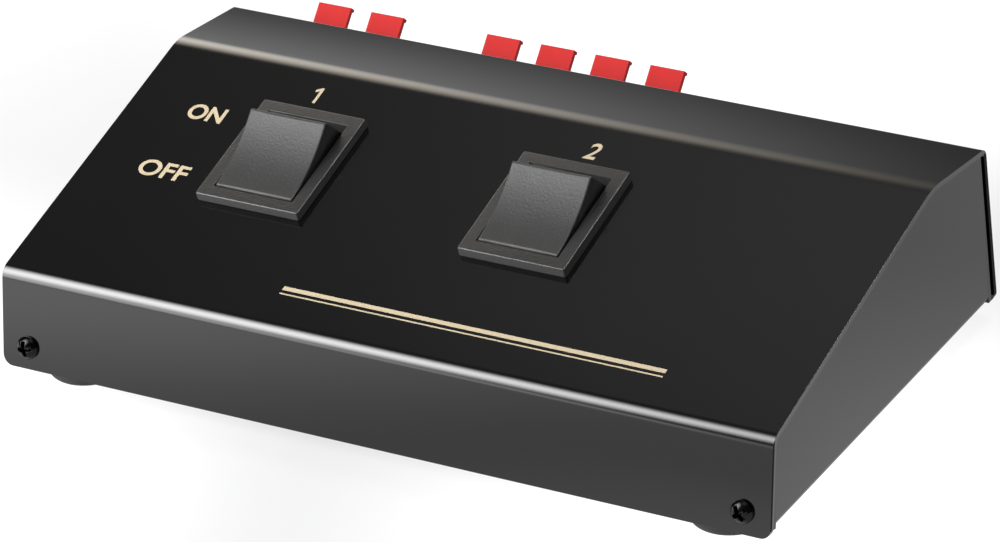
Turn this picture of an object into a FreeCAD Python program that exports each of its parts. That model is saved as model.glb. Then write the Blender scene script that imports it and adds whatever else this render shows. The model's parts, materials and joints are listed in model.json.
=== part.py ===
import FreeCAD, Part
import math
import os

import Sketcher
from FreeCAD import Vector

# Speaker selector switch: a sloping sheet steel desk box with two rocker switches on its slope
# and two blocks of spring terminals with push levers on its back.
#
# X runs along the width, Y from front to back, Z up. The origin is on the surface that the feet
# rest on, below the middle of the box. Lengths are in millimetres and angles in degrees.

DIMENSIONS = {
    # cover: one sheet bent into a lip, a slope, a band and a back
    "box_width": 152.0,
    "sheet_thickness": 1.0,
    "front_bend_radius": 1.8,
    "bend_radius": 0.8,
    "lip_bottom": 2.9,
    "lip_lean": 11.0,
    "slope_length": 61.8,
    "slope_angle": 15.1,
    "band_length": 20.0,
    "band_fall": 7.4,
    "back_lean": 2.8,
    "cover_corner": 2.0,
    # base: floor, two side plates and four screw tabs
    "foot_height": 3.9,
    "side_inset": 0.2,
    "cover_gap": 0.15,
    "back_gap": 0.8,
    "base_bend": 1.4,
    "tab_width": 8.2,
    "tab_height": 9.0,
    # screws that hold the cover to the base's tabs
    "case_screw_inset": 5.3,
    "case_screw_rise": 4.1,
    "case_screw_radius": 1.3,
    "case_screw_head": 2.1,
    "case_screw_cap": 1.7,
    "case_screw_spare": 1.1,
    # feet, their screws and nuts
    "foot_radius": 7.5,
    "foot_inset": 12.0,
    "foot_front": 9.2,
    "foot_back_inset": 11.0,
    "foot_edge": 1.0,
    "foot_recess_radius": 3.3,
    "foot_recess_depth": 2.0,
    "foot_screw_radius": 1.5,
    "foot_screw_head": 2.8,
    "foot_screw_cap": 1.6,
    "foot_screw_spare": 0.6,
    "foot_nut_flats": 5.5,
    "foot_nut_height": 2.0,
    # what every screw shares
    "screw_edge": 0.5,
    "screw_hole_gap": 0.15,
    "thread_gap": 0.05,
    "drive_arm": 1.35,
    "drive_width": 0.7,
    "drive_depth": 1.0,
    # rocker switches: housing
    "switch_along": 37.5,
    "switch_1_x": -39.5,
    "switch_2_x": 13.65,
    "bezel_side_rim": 1.05,
    "bezel_end_rim": 1.65,
    "bezel_height": 1.75,
    "bezel_corner": 0.45,
    "bezel_edge": 0.3,
    "housing_side_wall": 1.4,
    "housing_end_wall": 0.8,
    "housing_floor": 1.2,
    "cutout_gap": 0.2,
    "clip_width": 6.0,
    "clip_height": 3.4,
    "clip_reach": 0.8,
    "clip_gap": 0.1,
    # rocker switches: rocker
    "pivot_depth": 2.9,
    "pivot_radius": 1.2,
    "pivot_gap": 0.05,
    "pivot_reach": 1.2,
    "rocker_width": 15.7,
    "rocker_side_gap": 0.25,
    "rocker_end_gap": 0.275,
    "rocker_half": 7.93,
    "rocker_rise": 7.6,
    "rocker_hollow": 29.0,
    "rocker_lean": 14.0,
    "rocker_swing": 17.8,
    "rocker_wall": 1.4,
    "rocker_roof": 4.6,
    "rocker_edge": 0.6,
    # rocker switches: what makes the contact
    "pole_x": 4.0,
    "stem_wall": 0.85,
    "stem_reach": 3.2,
    "plunger_radius": 1.5,
    "plunger_gap": 0.05,
    "plunger_top": 1.4,
    "plunger_reach": 5.5,
    "switch_spring_wire": 0.3,
    "switch_spring_coil": 1.1,
    "switch_spring_turns": 6.0,
    "contact_gap": 0.1,
    "contact_room": 1.0,
    "contact_width": 3.0,
    "contact_half": 6.5,
    "contact_thickness": 0.5,
    "contact_tilt": 10.0,
    "blade_thickness": 0.8,
    "blade_width": 3.2,
    "blade_reach": 5.0,
    "blade_step": 6.0,
    "blade_gap": 0.05,
    "fulcrum_width": 0.3,
    "fulcrum_height": 1.4,
    # spring terminals: blocks
    "input_columns": 2.0,
    "output_columns": 4.0,
    "column_pitch": 11.24,
    "row_pitch": 11.3,
    "lower_row_rise": 11.0,
    "upper_row_fall": 8.64,
    "block_inset": 3.58,
    "block_spacing": 0.97,
    "block_face": 5.0,
    "block_roof": 0.9,
    "block_sill": 0.8,
    "block_inner_wall": 1.5,
    "block_end_wall": 2.0,
    "block_edge": 0.5,
    "flange_thickness": 1.6,
    "flange_lip": 1.0,
    "ear_reach": 5.0,
    "ear_height": 8.0,
    "ear_corner": 2.4,
    "ear_screw_x": 2.5,
    "ear_screw_radius": 1.3,
    "ear_screw_head": 2.2,
    "ear_screw_cap": 1.3,
    "ear_screw_spare": 1.0,
    "ear_nut_flats": 5.0,
    "ear_nut_height": 2.0,
    # spring terminals: one cell
    "chamber_top": 3.9,
    "chamber_bottom": 4.8,
    "chamber_back": 7.5,
    "face_wall": 1.0,
    "slot_bottom": 0.4,
    "wire_hole_radius": 1.6,
    "wire_hole_drop": 3.0,
    "wire_hole_funnel": 0.6,
    # spring terminals: lever
    "lever_width": 7.0,
    "lever_side_gap": 0.3,
    "lever_thickness": 0.9,
    "lever_length": 9.25,
    "lever_rise": 43.2,
    "lever_boss": 1.3,
    "lever_boss_gap": 0.2,
    "lever_pin_radius": 0.9,
    "lever_pin_reach": 0.9,
    "lever_lip_height": 0.9,
    "lever_lip_length": 0.9,
    "lever_leg_length": 3.0,
    "lever_leg_thickness": 1.2,
    "lever_leg_angle": 100.0,
    "lever_leg_width": 1.1,
    # spring terminals: tag and clamp spring
    "tag_width": 3.0,
    "tag_thickness": 0.6,
    "tag_gap": 0.05,
    "tag_reach": 5.0,
    "clamp_width": 6.6,
    "clamp_thickness": 0.35,
    "clamp_bend": 1.2,
    "clamp_knee_back": 2.1,
    "clamp_tip_back": 1.35,
    "clamp_tip_drop": 1.6,
    # hook-up wires
    "wire_radius": 0.6,
    "wire_spread": 0.9,
    "wire_gap": 0.1,
    "wire_lead": 3.4,
}

# Angles, corners and seats that follow from the dimensions. A cell may use the ones above it.
PLACES = {
    # directions of the cover's four flats in a side view, from the horizontal
    "lip_way": "90 - Dim.lip_lean",
    "slope_way": "Dim.slope_angle",
    "band_way": "-Dim.band_fall",
    "back_way": "Dim.back_lean - 90",
    # the two rows of terminals set the back's length, and the lip takes what the slope leaves
    "upper_row": "Dim.lower_row_rise + Dim.row_pitch",
    "back_length": "At.upper_row + Dim.upper_row_fall",
    "back_rise": "At.back_length * cos(Dim.back_lean)",
    "slope_rise": "Dim.slope_length * sin(At.slope_way)",
    "band_rise": "Dim.band_length * sin(At.band_way)",
    "lip_rise": "At.back_rise - At.slope_rise - At.band_rise",
    "lip_length": "At.lip_rise / sin(At.lip_way)",
    # outer corners of the cover, front to back, before the shift that centres the object
    "bend_1_y": "At.lip_length * cos(At.lip_way)",
    "bend_1_z": "Dim.lip_bottom + At.lip_rise",
    "bend_2_y": "At.bend_1_y + Dim.slope_length * cos(At.slope_way)",
    "bend_2_z": "At.bend_1_z + At.slope_rise",
    "bend_3_y": "At.bend_2_y + Dim.band_length * cos(At.band_way)",
    "bend_3_z": "At.bend_2_z + At.band_rise",
    "back_end_y": "At.bend_3_y + At.back_length * sin(Dim.back_lean)",
    # the lever tips are the object's back and the front screws' heads its front
    "lever_pivot_out": "Dim.block_face - Dim.face_wall - Dim.lever_boss - Dim.lever_boss_gap",
    "lever_under": "Dim.lever_thickness / 2 + Dim.lever_lip_height",
    "lever_tip_out": "At.lever_pivot_out + Dim.lever_length * cos(Dim.lever_rise)"
                     " + At.lever_under * sin(Dim.lever_rise)",
    "lever_tip_up": "Dim.lever_length * sin(Dim.lever_rise)"
                    " - At.lever_under * cos(Dim.lever_rise)",
    "front_y": "Dim.case_screw_rise * sin(Dim.lip_lean) - Dim.case_screw_cap * cos(Dim.lip_lean)",
    "back_y": "At.back_end_y - (Dim.lower_row_rise + At.lever_tip_up) * sin(Dim.back_lean)"
              " + At.lever_tip_out * cos(Dim.back_lean)",
    "centre_y": "(At.front_y + At.back_y) / 2",
    # inner surfaces of the base, and what is set in from the box's sides
    "side_x": "Dim.box_width / 2 - Dim.side_inset",
    "floor_z": "Dim.foot_height + Dim.sheet_thickness",
    "case_screw_x": "Dim.box_width / 2 - Dim.case_screw_inset",
    "case_screw_length": "2 * Dim.sheet_thickness + Dim.back_gap + Dim.case_screw_spare",
    "foot_x": "Dim.box_width / 2 - Dim.foot_inset",
    "foot_back": "At.back_end_y - Dim.foot_back_inset",
    # heights in a switch, from the outer face of the slope and along its normal
    "plunger_tip": "Dim.pivot_depth + Dim.plunger_reach",
    "contact_top": "At.plunger_tip + Dim.contact_gap",
    "fulcrum": "At.contact_top + Dim.contact_thickness + Dim.contact_gap / 2",
    "fixed_contact": "At.fulcrum + Dim.contact_half * tan(Dim.contact_tilt) + Dim.contact_gap",
    "housing_depth": "At.fixed_contact + Dim.contact_room + Dim.housing_floor",
    "blade_end": "At.housing_depth + Dim.blade_reach",
    # a switch from the inside out: stem, rocker, aperture, housing and bezel
    "stem_bore": "Dim.plunger_radius + Dim.plunger_gap",
    "stem_radius": "At.stem_bore + Dim.stem_wall",
    "rocker_foot": "Dim.rocker_half + Dim.rocker_rise * tan(Dim.rocker_lean)",
    "aperture_width": "Dim.rocker_width + 2 * Dim.rocker_side_gap",
    "aperture_length": "2 * (At.rocker_foot + Dim.rocker_end_gap)",
    "housing_width": "At.aperture_width + 2 * Dim.housing_side_wall",
    "housing_length": "At.aperture_length + 2 * Dim.housing_end_wall",
    "bezel_width": "At.housing_width + 2 * Dim.bezel_side_rim",
    "bezel_length": "At.housing_length + 2 * Dim.bezel_end_rim",
    # a terminal block round its cells, and its ends from its middle
    "cell_width": "Dim.lever_width + 2 * Dim.lever_side_gap",
    "block_top": "Dim.chamber_top + Dim.block_roof",
    "block_bottom": "Dim.chamber_bottom + Dim.block_sill",
    "block_inside": "Dim.chamber_back + Dim.block_inner_wall",
    "tag_end": "At.block_inside + Dim.tag_reach",
    "tag_drop": "Dim.chamber_bottom - Dim.tag_gap",
    "clamp_knee_out": "At.lever_pivot_out - Dim.clamp_knee_back",
    "clamp_tip_out": "At.lever_pivot_out - Dim.clamp_tip_back",
    "input_half": "(Dim.input_columns - 1) * Dim.column_pitch / 2"
                  " + At.cell_width / 2 + Dim.block_end_wall",
    "output_half": "(Dim.output_columns - 1) * Dim.column_pitch / 2"
                   " + At.cell_width / 2 + Dim.block_end_wall",
    "ear_end": "Dim.flange_lip + Dim.ear_reach",
    "input_block_x": "Dim.block_inset + At.ear_end + At.input_half - Dim.box_width / 2",
    "output_block_x": "At.input_block_x + At.input_half + At.output_half"
                      " + 2 * At.ear_end + Dim.block_spacing",
}

doc = FreeCAD.newDocument("speaker_selector_switch")


def fill_sheet(name, cells, mark=""):
    """Make a spreadsheet with one row per name: the name itself and its value or formula."""
    made = doc.addObject("Spreadsheet::Sheet", name)
    for row, (alias, content) in enumerate(cells.items(), start=1):
        made.set(f"A{row}", alias)
        made.set(f"B{row}", f"{mark}{content}")
        made.setAlias(f"B{row}", alias)
    doc.recompute()
    return made


sheet = fill_sheet("Dim", DIMENSIONS)
fill_sheet("At", PLACES, mark="=")


def value(expression):
    """The number that an expression on the sheets' names has now."""
    result = sheet.evalExpression(str(expression))
    return getattr(result, "Value", result)


# Two points closer than this are the same point.
NEAR = 1e-3


# ---------------------------------------------------------------------------------------------
# Frames: where a sub-part's own axes lie. Each is a Placement expression.


def turned(x, y, z, angle):
    """A frame at a point of the object, turned about X."""
    return (
        f"placement(vector({x}; ({y}) - At.centre_y; {z});"
        f" rotation(vector(1; 0; 0); {angle}))"
    )


def lip_frame(x, up, depth="0"):
    """On the lip: local Z points up the lip and local Y into the box."""
    return turned(
        x,
        f"({up}) * sin(Dim.lip_lean) + ({depth}) * cos(Dim.lip_lean)",
        f"Dim.lip_bottom + ({up}) * cos(Dim.lip_lean) - ({depth}) * sin(Dim.lip_lean)",
        "-Dim.lip_lean",
    )


def slope_frame(x, along, out="0", tilt="0"):
    """On the slope: local Y points up the slope and local Z away from the box."""
    return turned(
        x,
        f"At.bend_1_y + ({along}) * cos(Dim.slope_angle) - ({out}) * sin(Dim.slope_angle)",
        f"At.bend_1_z + ({along}) * sin(Dim.slope_angle) + ({out}) * cos(Dim.slope_angle)",
        f"Dim.slope_angle + ({tilt})",
    )


def back_frame(x, up, out="0", tilt="0"):
    """On the back: local Z points up the back and local Y away from the box."""
    return turned(
        x,
        f"At.back_end_y - ({up}) * sin(Dim.back_lean) + ({out}) * cos(Dim.back_lean)",
        f"Dim.lip_bottom + ({up}) * cos(Dim.back_lean) + ({out}) * sin(Dim.back_lean)",
        f"Dim.back_lean + ({tilt})",
    )


def shifted(x, y, z):
    """A move with no turn, for a sketch or a further step from a frame."""
    return f"placement(vector({x}; {y}; {z}); rotation(vector(1; 0; 0); 0))"


def upright(x, y, z):
    """At a point of the object, with no turn."""
    return turned(x, y, z, "0")


# ---------------------------------------------------------------------------------------------
# Bodies, sketches and features


def new_body(label, at=None):
    """A body whose name is its sub-part's name."""
    made = doc.addObject("PartDesign::Body", label)
    made.Label = label
    if at:
        made.setExpression("Placement", at)
    return made


def new_sketch(body, role, at=None):
    """A sketch on one of the body's own origin planes, moved off it where asked."""
    made = body.newObject("Sketcher::SketchObject", f"{body.Name}_sketch")
    plane = next(f for f in body.Origin.OriginFeatures if f.Role == role)
    made.AttachmentSupport = [(plane, "")]
    made.MapMode = "FlatFace"
    if at:
        made.setExpression("AttachmentOffset", at)
    return made


def hold(sketch, kind, places_at, expression):
    """Add one dimension to a sketch and bind it to an expression."""
    index = sketch.addConstraint(Sketcher.Constraint(kind, *places_at, value(expression)))
    sketch.setExpression(f"Constraints[{index}]", str(expression))


def pin(sketch, geometry, vertex, x, y):
    """Hold one point of a sketch at its distances from the sketch's origin."""
    hold(sketch, "DistanceX", (-1, 1, geometry, vertex), x)
    hold(sketch, "DistanceY", (-1, 1, geometry, vertex), y)


def arc_through(start, end, radius):
    """An arc from start to end; a positive radius puts its centre left of the way there."""
    chord = end - start
    left = Vector(-chord.y, chord.x, 0).normalize()
    depth = math.sqrt(radius**2 - (chord.Length / 2) ** 2)
    side = math.copysign(1, radius)
    centre = (start + end) / 2 + left * depth * side
    return Part.ArcOfCircle(start, centre - left * abs(radius) * side, end)


def outline(sketch, points, arcs=None):
    """A closed outline through points, each a pair of expressions.

    arcs gives the signed radius of each edge that is an arc, by the number of its first point."""
    arcs = arcs or {}
    spots = [Vector(value(x), value(y), 0) for x, y in points]
    first = sketch.GeometryCount
    for number, start in enumerate(spots):
        end = spots[(number + 1) % len(spots)]
        if number in arcs:
            edge = arc_through(start, end, value(arcs[number]))
        else:
            edge = Part.LineSegment(start, end)
        sketch.addGeometry(edge)
    for number, spot in enumerate(spots):
        edge = first + number
        before = first + (number - 1) % len(spots)
        start = 1 if sketch.getPoint(edge, 1).distanceToPoint(spot) < 1e-6 else 2
        end = 2 if sketch.getPoint(before, 2).distanceToPoint(spot) < 1e-6 else 1
        sketch.addConstraint(Sketcher.Constraint("Coincident", before, end, edge, start))
        pin(sketch, edge, start, *points[number])
        if number in arcs:
            hold(sketch, "Radius", (edge,), f"abs({arcs[number]})")


def rectangle(sketch, left, low, right, high):
    """A closed rectangle between two corners."""
    outline(sketch, [(left, low), (right, low), (right, high), (left, high)])


def centred(sketch, width, low, high):
    """A closed rectangle centred across the sketch's first axis."""
    rectangle(sketch, f"-({width}) / 2", low, f"({width}) / 2", high)


def circle(sketch, x, y, radius):
    """A circle round a point."""
    centre = Vector(value(x), value(y), 0)
    index = sketch.addGeometry(Part.Circle(centre, Vector(0, 0, 1), value(radius)))
    pin(sketch, index, 3, x, y)
    hold(sketch, "Radius", (index,), radius)


def feature(kind, body, sketch, length, symmetric=False, reverse=False):
    """A pad or a pocket of a sketch; symmetric shares its length between both sides."""
    made = body.newObject(f"PartDesign::{kind}", f"{body.Name}_{kind.lower()}")
    made.Profile = sketch
    if symmetric:
        made.SideType = "Symmetric"
    made.Reversed = reverse
    made.setExpression("Length", str(length))
    return made


def pad(body, sketch, length, symmetric=False, reverse=False):
    """Material from a sketch, along its normal."""
    return feature("Pad", body, sketch, length, symmetric, reverse)


def pocket(body, sketch, length, symmetric=False, reverse=False):
    """A cut from a sketch, against its normal."""
    return feature("Pocket", body, sketch, length, symmetric, reverse)


def revolve(body, sketch):
    """A full turn of a sketch about its own upright axis."""
    made = body.newObject("PartDesign::Revolution", f"{body.Name}_turn")
    made.Profile = sketch
    made.ReferenceAxis = (sketch, ["V_Axis"])
    made.Angle = 360


def edges_where(shape, test):
    """Names of the straight edges of a shape whose middle and direction pass a test."""
    names = []
    for number, edge in enumerate(shape.Edges, start=1):
        if isinstance(edge.Curve, Part.Line):
            ends = [vertex.Point for vertex in edge.Vertexes]
            if test((ends[0] + ends[-1]) / 2, (ends[-1] - ends[0]).normalize()):
                names.append(f"Edge{number}")
    return names


def soften(body, names, radius):
    """Round edges of the body's last feature."""
    base = body.Tip
    made = body.newObject("PartDesign::Fillet", f"{body.Name}_round")
    made.Base = (base, names)
    made.setExpression("Radius", str(radius))


def group(label, members):
    """Several solids that share one name."""
    made = doc.addObject("Part::Compound", label)
    made.Label = label
    made.Links = members
    return made


# ---------------------------------------------------------------------------------------------
# Cover


def cover_corner(number, depth):
    """A corner of the cover's side view, moved in from its outer face by a depth."""
    ways = ["At.lip_way", "At.slope_way", "At.band_way", "At.back_way"]
    outer = [
        ("0", "Dim.lip_bottom"),
        ("At.bend_1_y", "At.bend_1_z"),
        ("At.bend_2_y", "At.bend_2_z"),
        ("At.bend_3_y", "At.bend_3_z"),
        ("At.back_end_y", "Dim.lip_bottom"),
    ]
    y, z = outer[number]
    if number == 0:
        return f"{y} + ({depth}) * cos(Dim.lip_lean)", f"{z} - ({depth}) * sin(Dim.lip_lean)"
    if number == 4:
        return f"{y} - ({depth}) * cos(Dim.back_lean)", f"{z} - ({depth}) * sin(Dim.back_lean)"
    turn = f"({ways[number - 1]} - {ways[number]}) / 2"
    middle = f"({ways[number - 1]} + {ways[number]}) / 2"
    across = f"({depth}) / cos({turn})"
    return f"{y} + {across} * sin({middle})", f"{z} - {across} * cos({middle})"


def bend_edges(body, numbers, depth):
    """Names of the body's edges along X that lie at the numbered corners of the side view."""
    corners = [cover_corner(number, depth) for number in numbers]
    spots = [(value(y), value(z)) for y, z in corners]
    return edges_where(
        body.Tip.Shape,
        lambda middle, way: abs(way.x) > 0.99
        and any(math.hypot(middle.y - y, middle.z - z) < NEAR for y, z in spots),
    )


def offset_in(frame):
    """The same frame seen from a body that is itself only shifted to the object's origin."""
    return frame.replace(" - At.centre_y", "")


def make_cover():
    """The bent sheet, with its bends rounded, its lower corners rounded and its cut-outs."""
    body = new_body("cover", upright("0", "0", "0"))
    side = new_sketch(body, "YZ_Plane")
    outer = [cover_corner(number, "0") for number in range(5)]
    inner = [cover_corner(number, "Dim.sheet_thickness") for number in reversed(range(5))]
    outline(side, outer + inner)
    pad(body, side, "Dim.box_width", symmetric=True)
    doc.recompute()

    for depth, more in (("0", " + Dim.sheet_thickness"), ("Dim.sheet_thickness", "")):
        soften(body, bend_edges(body, (1,), depth), f"Dim.front_bend_radius{more}")
        doc.recompute()
        soften(body, bend_edges(body, (2, 3), depth), f"Dim.bend_radius{more}")
        doc.recompute()
    low = value("Dim.lip_bottom")
    thickness = value("Dim.sheet_thickness")
    names = edges_where(
        body.Tip.Shape,
        lambda middle, way: abs(way.x) < 0.01
        and abs(way.y) > 0.9
        and abs(middle.z - low) < thickness,
    )
    soften(body, names, "Dim.cover_corner")

    through = "4 * Dim.sheet_thickness"
    for number in (1, 2):
        frame = slope_frame(f"Dim.switch_{number}_x", "Dim.switch_along")
        cut = new_sketch(body, "XY_Plane", offset_in(frame))
        rectangle(
            cut,
            "-(At.housing_width / 2 + Dim.cutout_gap)",
            "-(At.housing_length / 2 + Dim.cutout_gap)",
            "At.housing_width / 2 + Dim.cutout_gap",
            "At.housing_length / 2 + Dim.cutout_gap",
        )
        pocket(body, cut, through, symmetric=True)

    # Local Z of a sketch on the XZ plane points to the front, so its holes run both ways.
    for block in ("input", "output"):
        cut = new_sketch(body, "XZ_Plane", on_back(f"At.{block}_block_x", "Dim.lower_row_rise"))
        rectangle(
            cut,
            f"-({block_half(block)} + Dim.cutout_gap)",
            "-(At.block_bottom + Dim.cutout_gap)",
            f"{block_half(block)} + Dim.cutout_gap",
            "Dim.row_pitch + At.block_top + Dim.cutout_gap",
        )
        for sign in ("-", "+"):
            circle(
                cut,
                f"0 {sign} {ear_x(block)}",
                "Dim.row_pitch / 2",
                "Dim.ear_screw_radius + Dim.screw_hole_gap",
            )
        pocket(body, cut, through, symmetric=True)
    for place in (on_lip("0", "Dim.case_screw_rise"), on_back("0", "Dim.case_screw_rise")):
        cut = new_sketch(body, "XZ_Plane", place)
        for sign in ("-", "+"):
            hole = "Dim.case_screw_radius + Dim.screw_hole_gap"
            circle(cut, f"0 {sign} At.case_screw_x", "0", hole)
        pocket(body, cut, through, symmetric=True)
    return body


def on_back(x, up):
    """Offset of a sketch on an XZ plane that lays it on the back's outer face."""
    return (
        f"placement(vector({x}; Dim.lip_bottom + ({up}) * cos(Dim.back_lean);"
        f" ({up}) * sin(Dim.back_lean) - At.back_end_y);"
        " rotation(vector(1; 0; 0); Dim.back_lean))"
    )


def on_lip(x, up, depth="0"):
    """Offset of a sketch on an XZ plane that lays it on the lip, or behind it."""
    return (
        f"placement(vector({x};"
        f" Dim.lip_bottom + ({up}) * cos(Dim.lip_lean) - ({depth}) * sin(Dim.lip_lean);"
        f" -({up}) * sin(Dim.lip_lean) - ({depth}) * cos(Dim.lip_lean));"
        " rotation(vector(1; 0; 0); -Dim.lip_lean))"
    )


def block_half(block):
    """Half the width of a terminal block's body."""
    return f"At.{block}_half"


def ear_x(block):
    """Distance of an ear's screw from the middle of its block."""
    return f"({block_half(block)} + Dim.flange_lip + Dim.ear_screw_x)"


# ---------------------------------------------------------------------------------------------
# Base


def make_base():
    """Floor, two side plates that follow the cover's side view, and four drilled tabs."""
    body = new_body("base", upright("0", "0", "0"))
    thickness = "Dim.sheet_thickness"
    under = f"({thickness} + Dim.cover_gap)"
    behind = f"({thickness} + Dim.back_gap)"

    # where the floor's upper face meets the lines inside the lip and inside the back
    front_y, front_z = cover_corner(0, under)
    back_y, back_z = cover_corner(4, behind)
    front = f"{front_y} + (At.floor_z - ({front_z})) * tan(Dim.lip_lean)"
    back = f"{back_y} - (At.floor_z - ({back_z})) * tan(Dim.back_lean)"

    floor = new_sketch(body, "XY_Plane", shifted("0", "0", "Dim.foot_height"))
    rectangle(floor, "-At.side_x", front, "At.side_x", back)
    pad(body, floor, thickness)

    # the corner under the band and the back keeps both gaps: it slides along the band's line
    band_y, band_z = cover_corner(3, under)
    slide = "(Dim.back_gap - Dim.cover_gap) / sin(At.band_way - At.back_way)"
    for sign in ("-", "+"):
        x = "-At.side_x" if sign == "-" else f"At.side_x - {thickness}"
        plate = new_sketch(body, "YZ_Plane", shifted("0", "0", x))
        outline(
            plate,
            [
                (front, "Dim.foot_height"),
                (front, "At.floor_z"),
                cover_corner(1, under),
                cover_corner(2, under),
                (f"{band_y} - {slide} * cos(At.band_way)", f"{band_z} - {slide} * sin(At.band_way)"),
                (back, "At.floor_z"),
                (back, "Dim.foot_height"),
            ],
        )
        pad(body, plate, thickness)
    doc.recompute()
    soften(body, bend_edges(body, (1,), under), "Dim.front_bend_radius - Dim.cover_gap")
    doc.recompute()
    low, side = value("Dim.foot_height"), value("At.side_x")
    names = edges_where(
        body.Tip.Shape,
        lambda middle, way: abs(way.y) > 0.99
        and abs(middle.z - low) < NEAR
        and abs(abs(middle.x) - side) < NEAR,
    )
    soften(body, names, "Dim.base_bend")

    tabs = (
        (on_lip, "Dim.lip_lean", under, front_z),
        (on_back_inside, "Dim.back_lean", behind, back_z),
    )
    for frame, lean, depth, corner_z in tabs:
        rise = f"(Dim.foot_height - ({corner_z})) / cos({lean}) + {thickness} * tan({lean})"
        for sign in ("-", "+"):
            near = f"{sign}(At.side_x - Dim.tab_width)"
            far = f"{sign}At.side_x"
            left, right = (far, near) if sign == "-" else (near, far)
            tab = new_sketch(body, "XZ_Plane", frame("0", "0", depth))
            rectangle(tab, left, rise, right, f"{rise} + Dim.tab_height")
            pad(body, tab, thickness, reverse=frame is on_lip)
            hole = new_sketch(body, "XZ_Plane", frame("0", "0", depth))
            circle(
                hole,
                f"{sign}At.case_screw_x",
                "Dim.case_screw_rise",
                "Dim.case_screw_radius + Dim.thread_gap",
            )
            pocket(body, hole, f"2 * {thickness} + Dim.back_gap", symmetric=True)

    holes = new_sketch(body, "XY_Plane", shifted("0", "0", "At.floor_z"))
    for x in ("-At.foot_x", "At.foot_x"):
        for y in ("Dim.foot_front", "At.foot_back"):
            circle(holes, x, y, "Dim.foot_screw_radius + Dim.screw_hole_gap")
    pocket(body, holes, f"2 * {thickness}", symmetric=True)
    return body


def on_back_inside(x, up, depth):
    """Offset of a sketch on an XZ plane that lays it on the back, or in front of it."""
    return (
        f"placement(vector({x};"
        f" Dim.lip_bottom + ({up}) * cos(Dim.back_lean) - ({depth}) * sin(Dim.back_lean);"
        f" ({up}) * sin(Dim.back_lean) + ({depth}) * cos(Dim.back_lean) - At.back_end_y);"
        " rotation(vector(1; 0; 0); Dim.back_lean))"
    )


# ---------------------------------------------------------------------------------------------
# Screws and nuts


def make_screw(label, frame, size, length):
    """A pan head screw with a cross recess: its head is above local Z = 0, its shank below."""
    body = new_body(label, frame)
    radius, head, cap = f"Dim.{size}_radius", f"Dim.{size}_head", f"Dim.{size}_cap"
    side = new_sketch(body, "XZ_Plane")
    dome = f"({cap} - Dim.screw_edge)"
    outline(
        side,
        [
            ("0", f"-({length})"),
            (f"{radius} - Dim.screw_edge", f"-({length})"),
            (radius, f"Dim.screw_edge - ({length})"),
            (radius, "0"),
            (head, "0"),
            (head, "Dim.screw_edge"),
            ("0", cap),
        ],
        arcs={5: f"({head} ^ 2 + {dome} ^ 2) / (2 * {dome})"},
    )
    revolve(body, side)
    drive = new_sketch(body, "XY_Plane", shifted("0", "0", cap))
    arm, half = "Dim.drive_arm", "Dim.drive_width / 2"
    corner = [(arm, f"-{half}"), (arm, half), (half, half)]
    cross = []
    for _ in range(4):
        cross += corner
        corner = [(f"-({y})", x) for x, y in corner]
    outline(drive, cross)
    pocket(body, drive, "Dim.drive_depth")
    return body


def make_nut(label, frame, size):
    """A hexagon nut that stands on local Z = 0 and reaches below it."""
    body = new_body(label, frame)
    flat = new_sketch(body, "XY_Plane")
    across = f"Dim.{size}_nut_flats / sqrt(3)"
    outline(flat, [(f"{across} * cos({60 * n})", f"{across} * sin({60 * n})") for n in range(6)])
    circle(flat, "0", "0", f"Dim.{size}_screw_radius + Dim.thread_gap")
    pad(body, flat, f"Dim.{size}_nut_height", reverse=True)
    return body


def looking(frame, angle):
    """The same frame with its local Z turned further about X."""
    return f"{frame} * placement(vector(0; 0; 0); rotation(vector(1; 0; 0); {angle}))"


def make_case_screws():
    """Two screws through the lip and two through the back, their heads on the cover."""
    sides = (
        ("front", lip_frame, 90),
        ("rear", back_frame, -90),
    )
    return [
        group(
            f"{name}_cover_screws",
            [
                make_screw(
                    f"{name}_cover_screw_{number}",
                    looking(frame(f"{sign}At.case_screw_x", "Dim.case_screw_rise"), angle),
                    "case_screw",
                    "At.case_screw_length",
                )
                for number, sign in enumerate("-+", start=1)
            ],
        )
        for name, frame, angle in sides
    ]


# ---------------------------------------------------------------------------------------------
# Feet


FOOT_PLACES = {
    "foot_front_left": ("-At.foot_x", "Dim.foot_front"),
    "foot_front_right": ("At.foot_x", "Dim.foot_front"),
    "foot_rear_left": ("-At.foot_x", "At.foot_back"),
    "foot_rear_right": ("At.foot_x", "At.foot_back"),
}


def make_foot(label, x, y):
    """A round rubber foot with a screw hole and a recess that hides the screw's head."""
    body = new_body(label, upright(x, y, "0"))
    side = new_sketch(body, "XZ_Plane")
    bore = "Dim.foot_screw_radius + Dim.screw_hole_gap"
    outline(
        side,
        [
            ("Dim.foot_recess_radius", "0"),
            ("Dim.foot_radius - Dim.foot_edge", "0"),
            ("Dim.foot_radius", "Dim.foot_edge"),
            ("Dim.foot_radius", "Dim.foot_height"),
            (bore, "Dim.foot_height"),
            (bore, "Dim.foot_recess_depth"),
            ("Dim.foot_recess_radius", "Dim.foot_recess_depth"),
        ],
        arcs={1: "Dim.foot_edge"},
    )
    revolve(body, side)
    return body


def make_feet():
    """Four feet, each with a screw from below and a nut inside the base."""
    feet, screws, nuts = [], [], []
    length = (
        "Dim.foot_height - Dim.foot_recess_depth + Dim.sheet_thickness"
        " + Dim.foot_nut_height + Dim.foot_screw_spare"
    )
    for number, (label, (x, y)) in enumerate(FOOT_PLACES.items(), start=1):
        feet.append(make_foot(label, x, y))
        seat = looking(upright(x, y, "Dim.foot_recess_depth"), 180)
        screws.append(make_screw(f"foot_screw_{number}", seat, "foot_screw", length))
        inside = looking(upright(x, y, "At.floor_z"), 180)
        nuts.append(make_nut(f"foot_nut_{number}", inside, "foot"))
    return feet + [group("foot_screws", screws), group("foot_nuts", nuts)]


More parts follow.
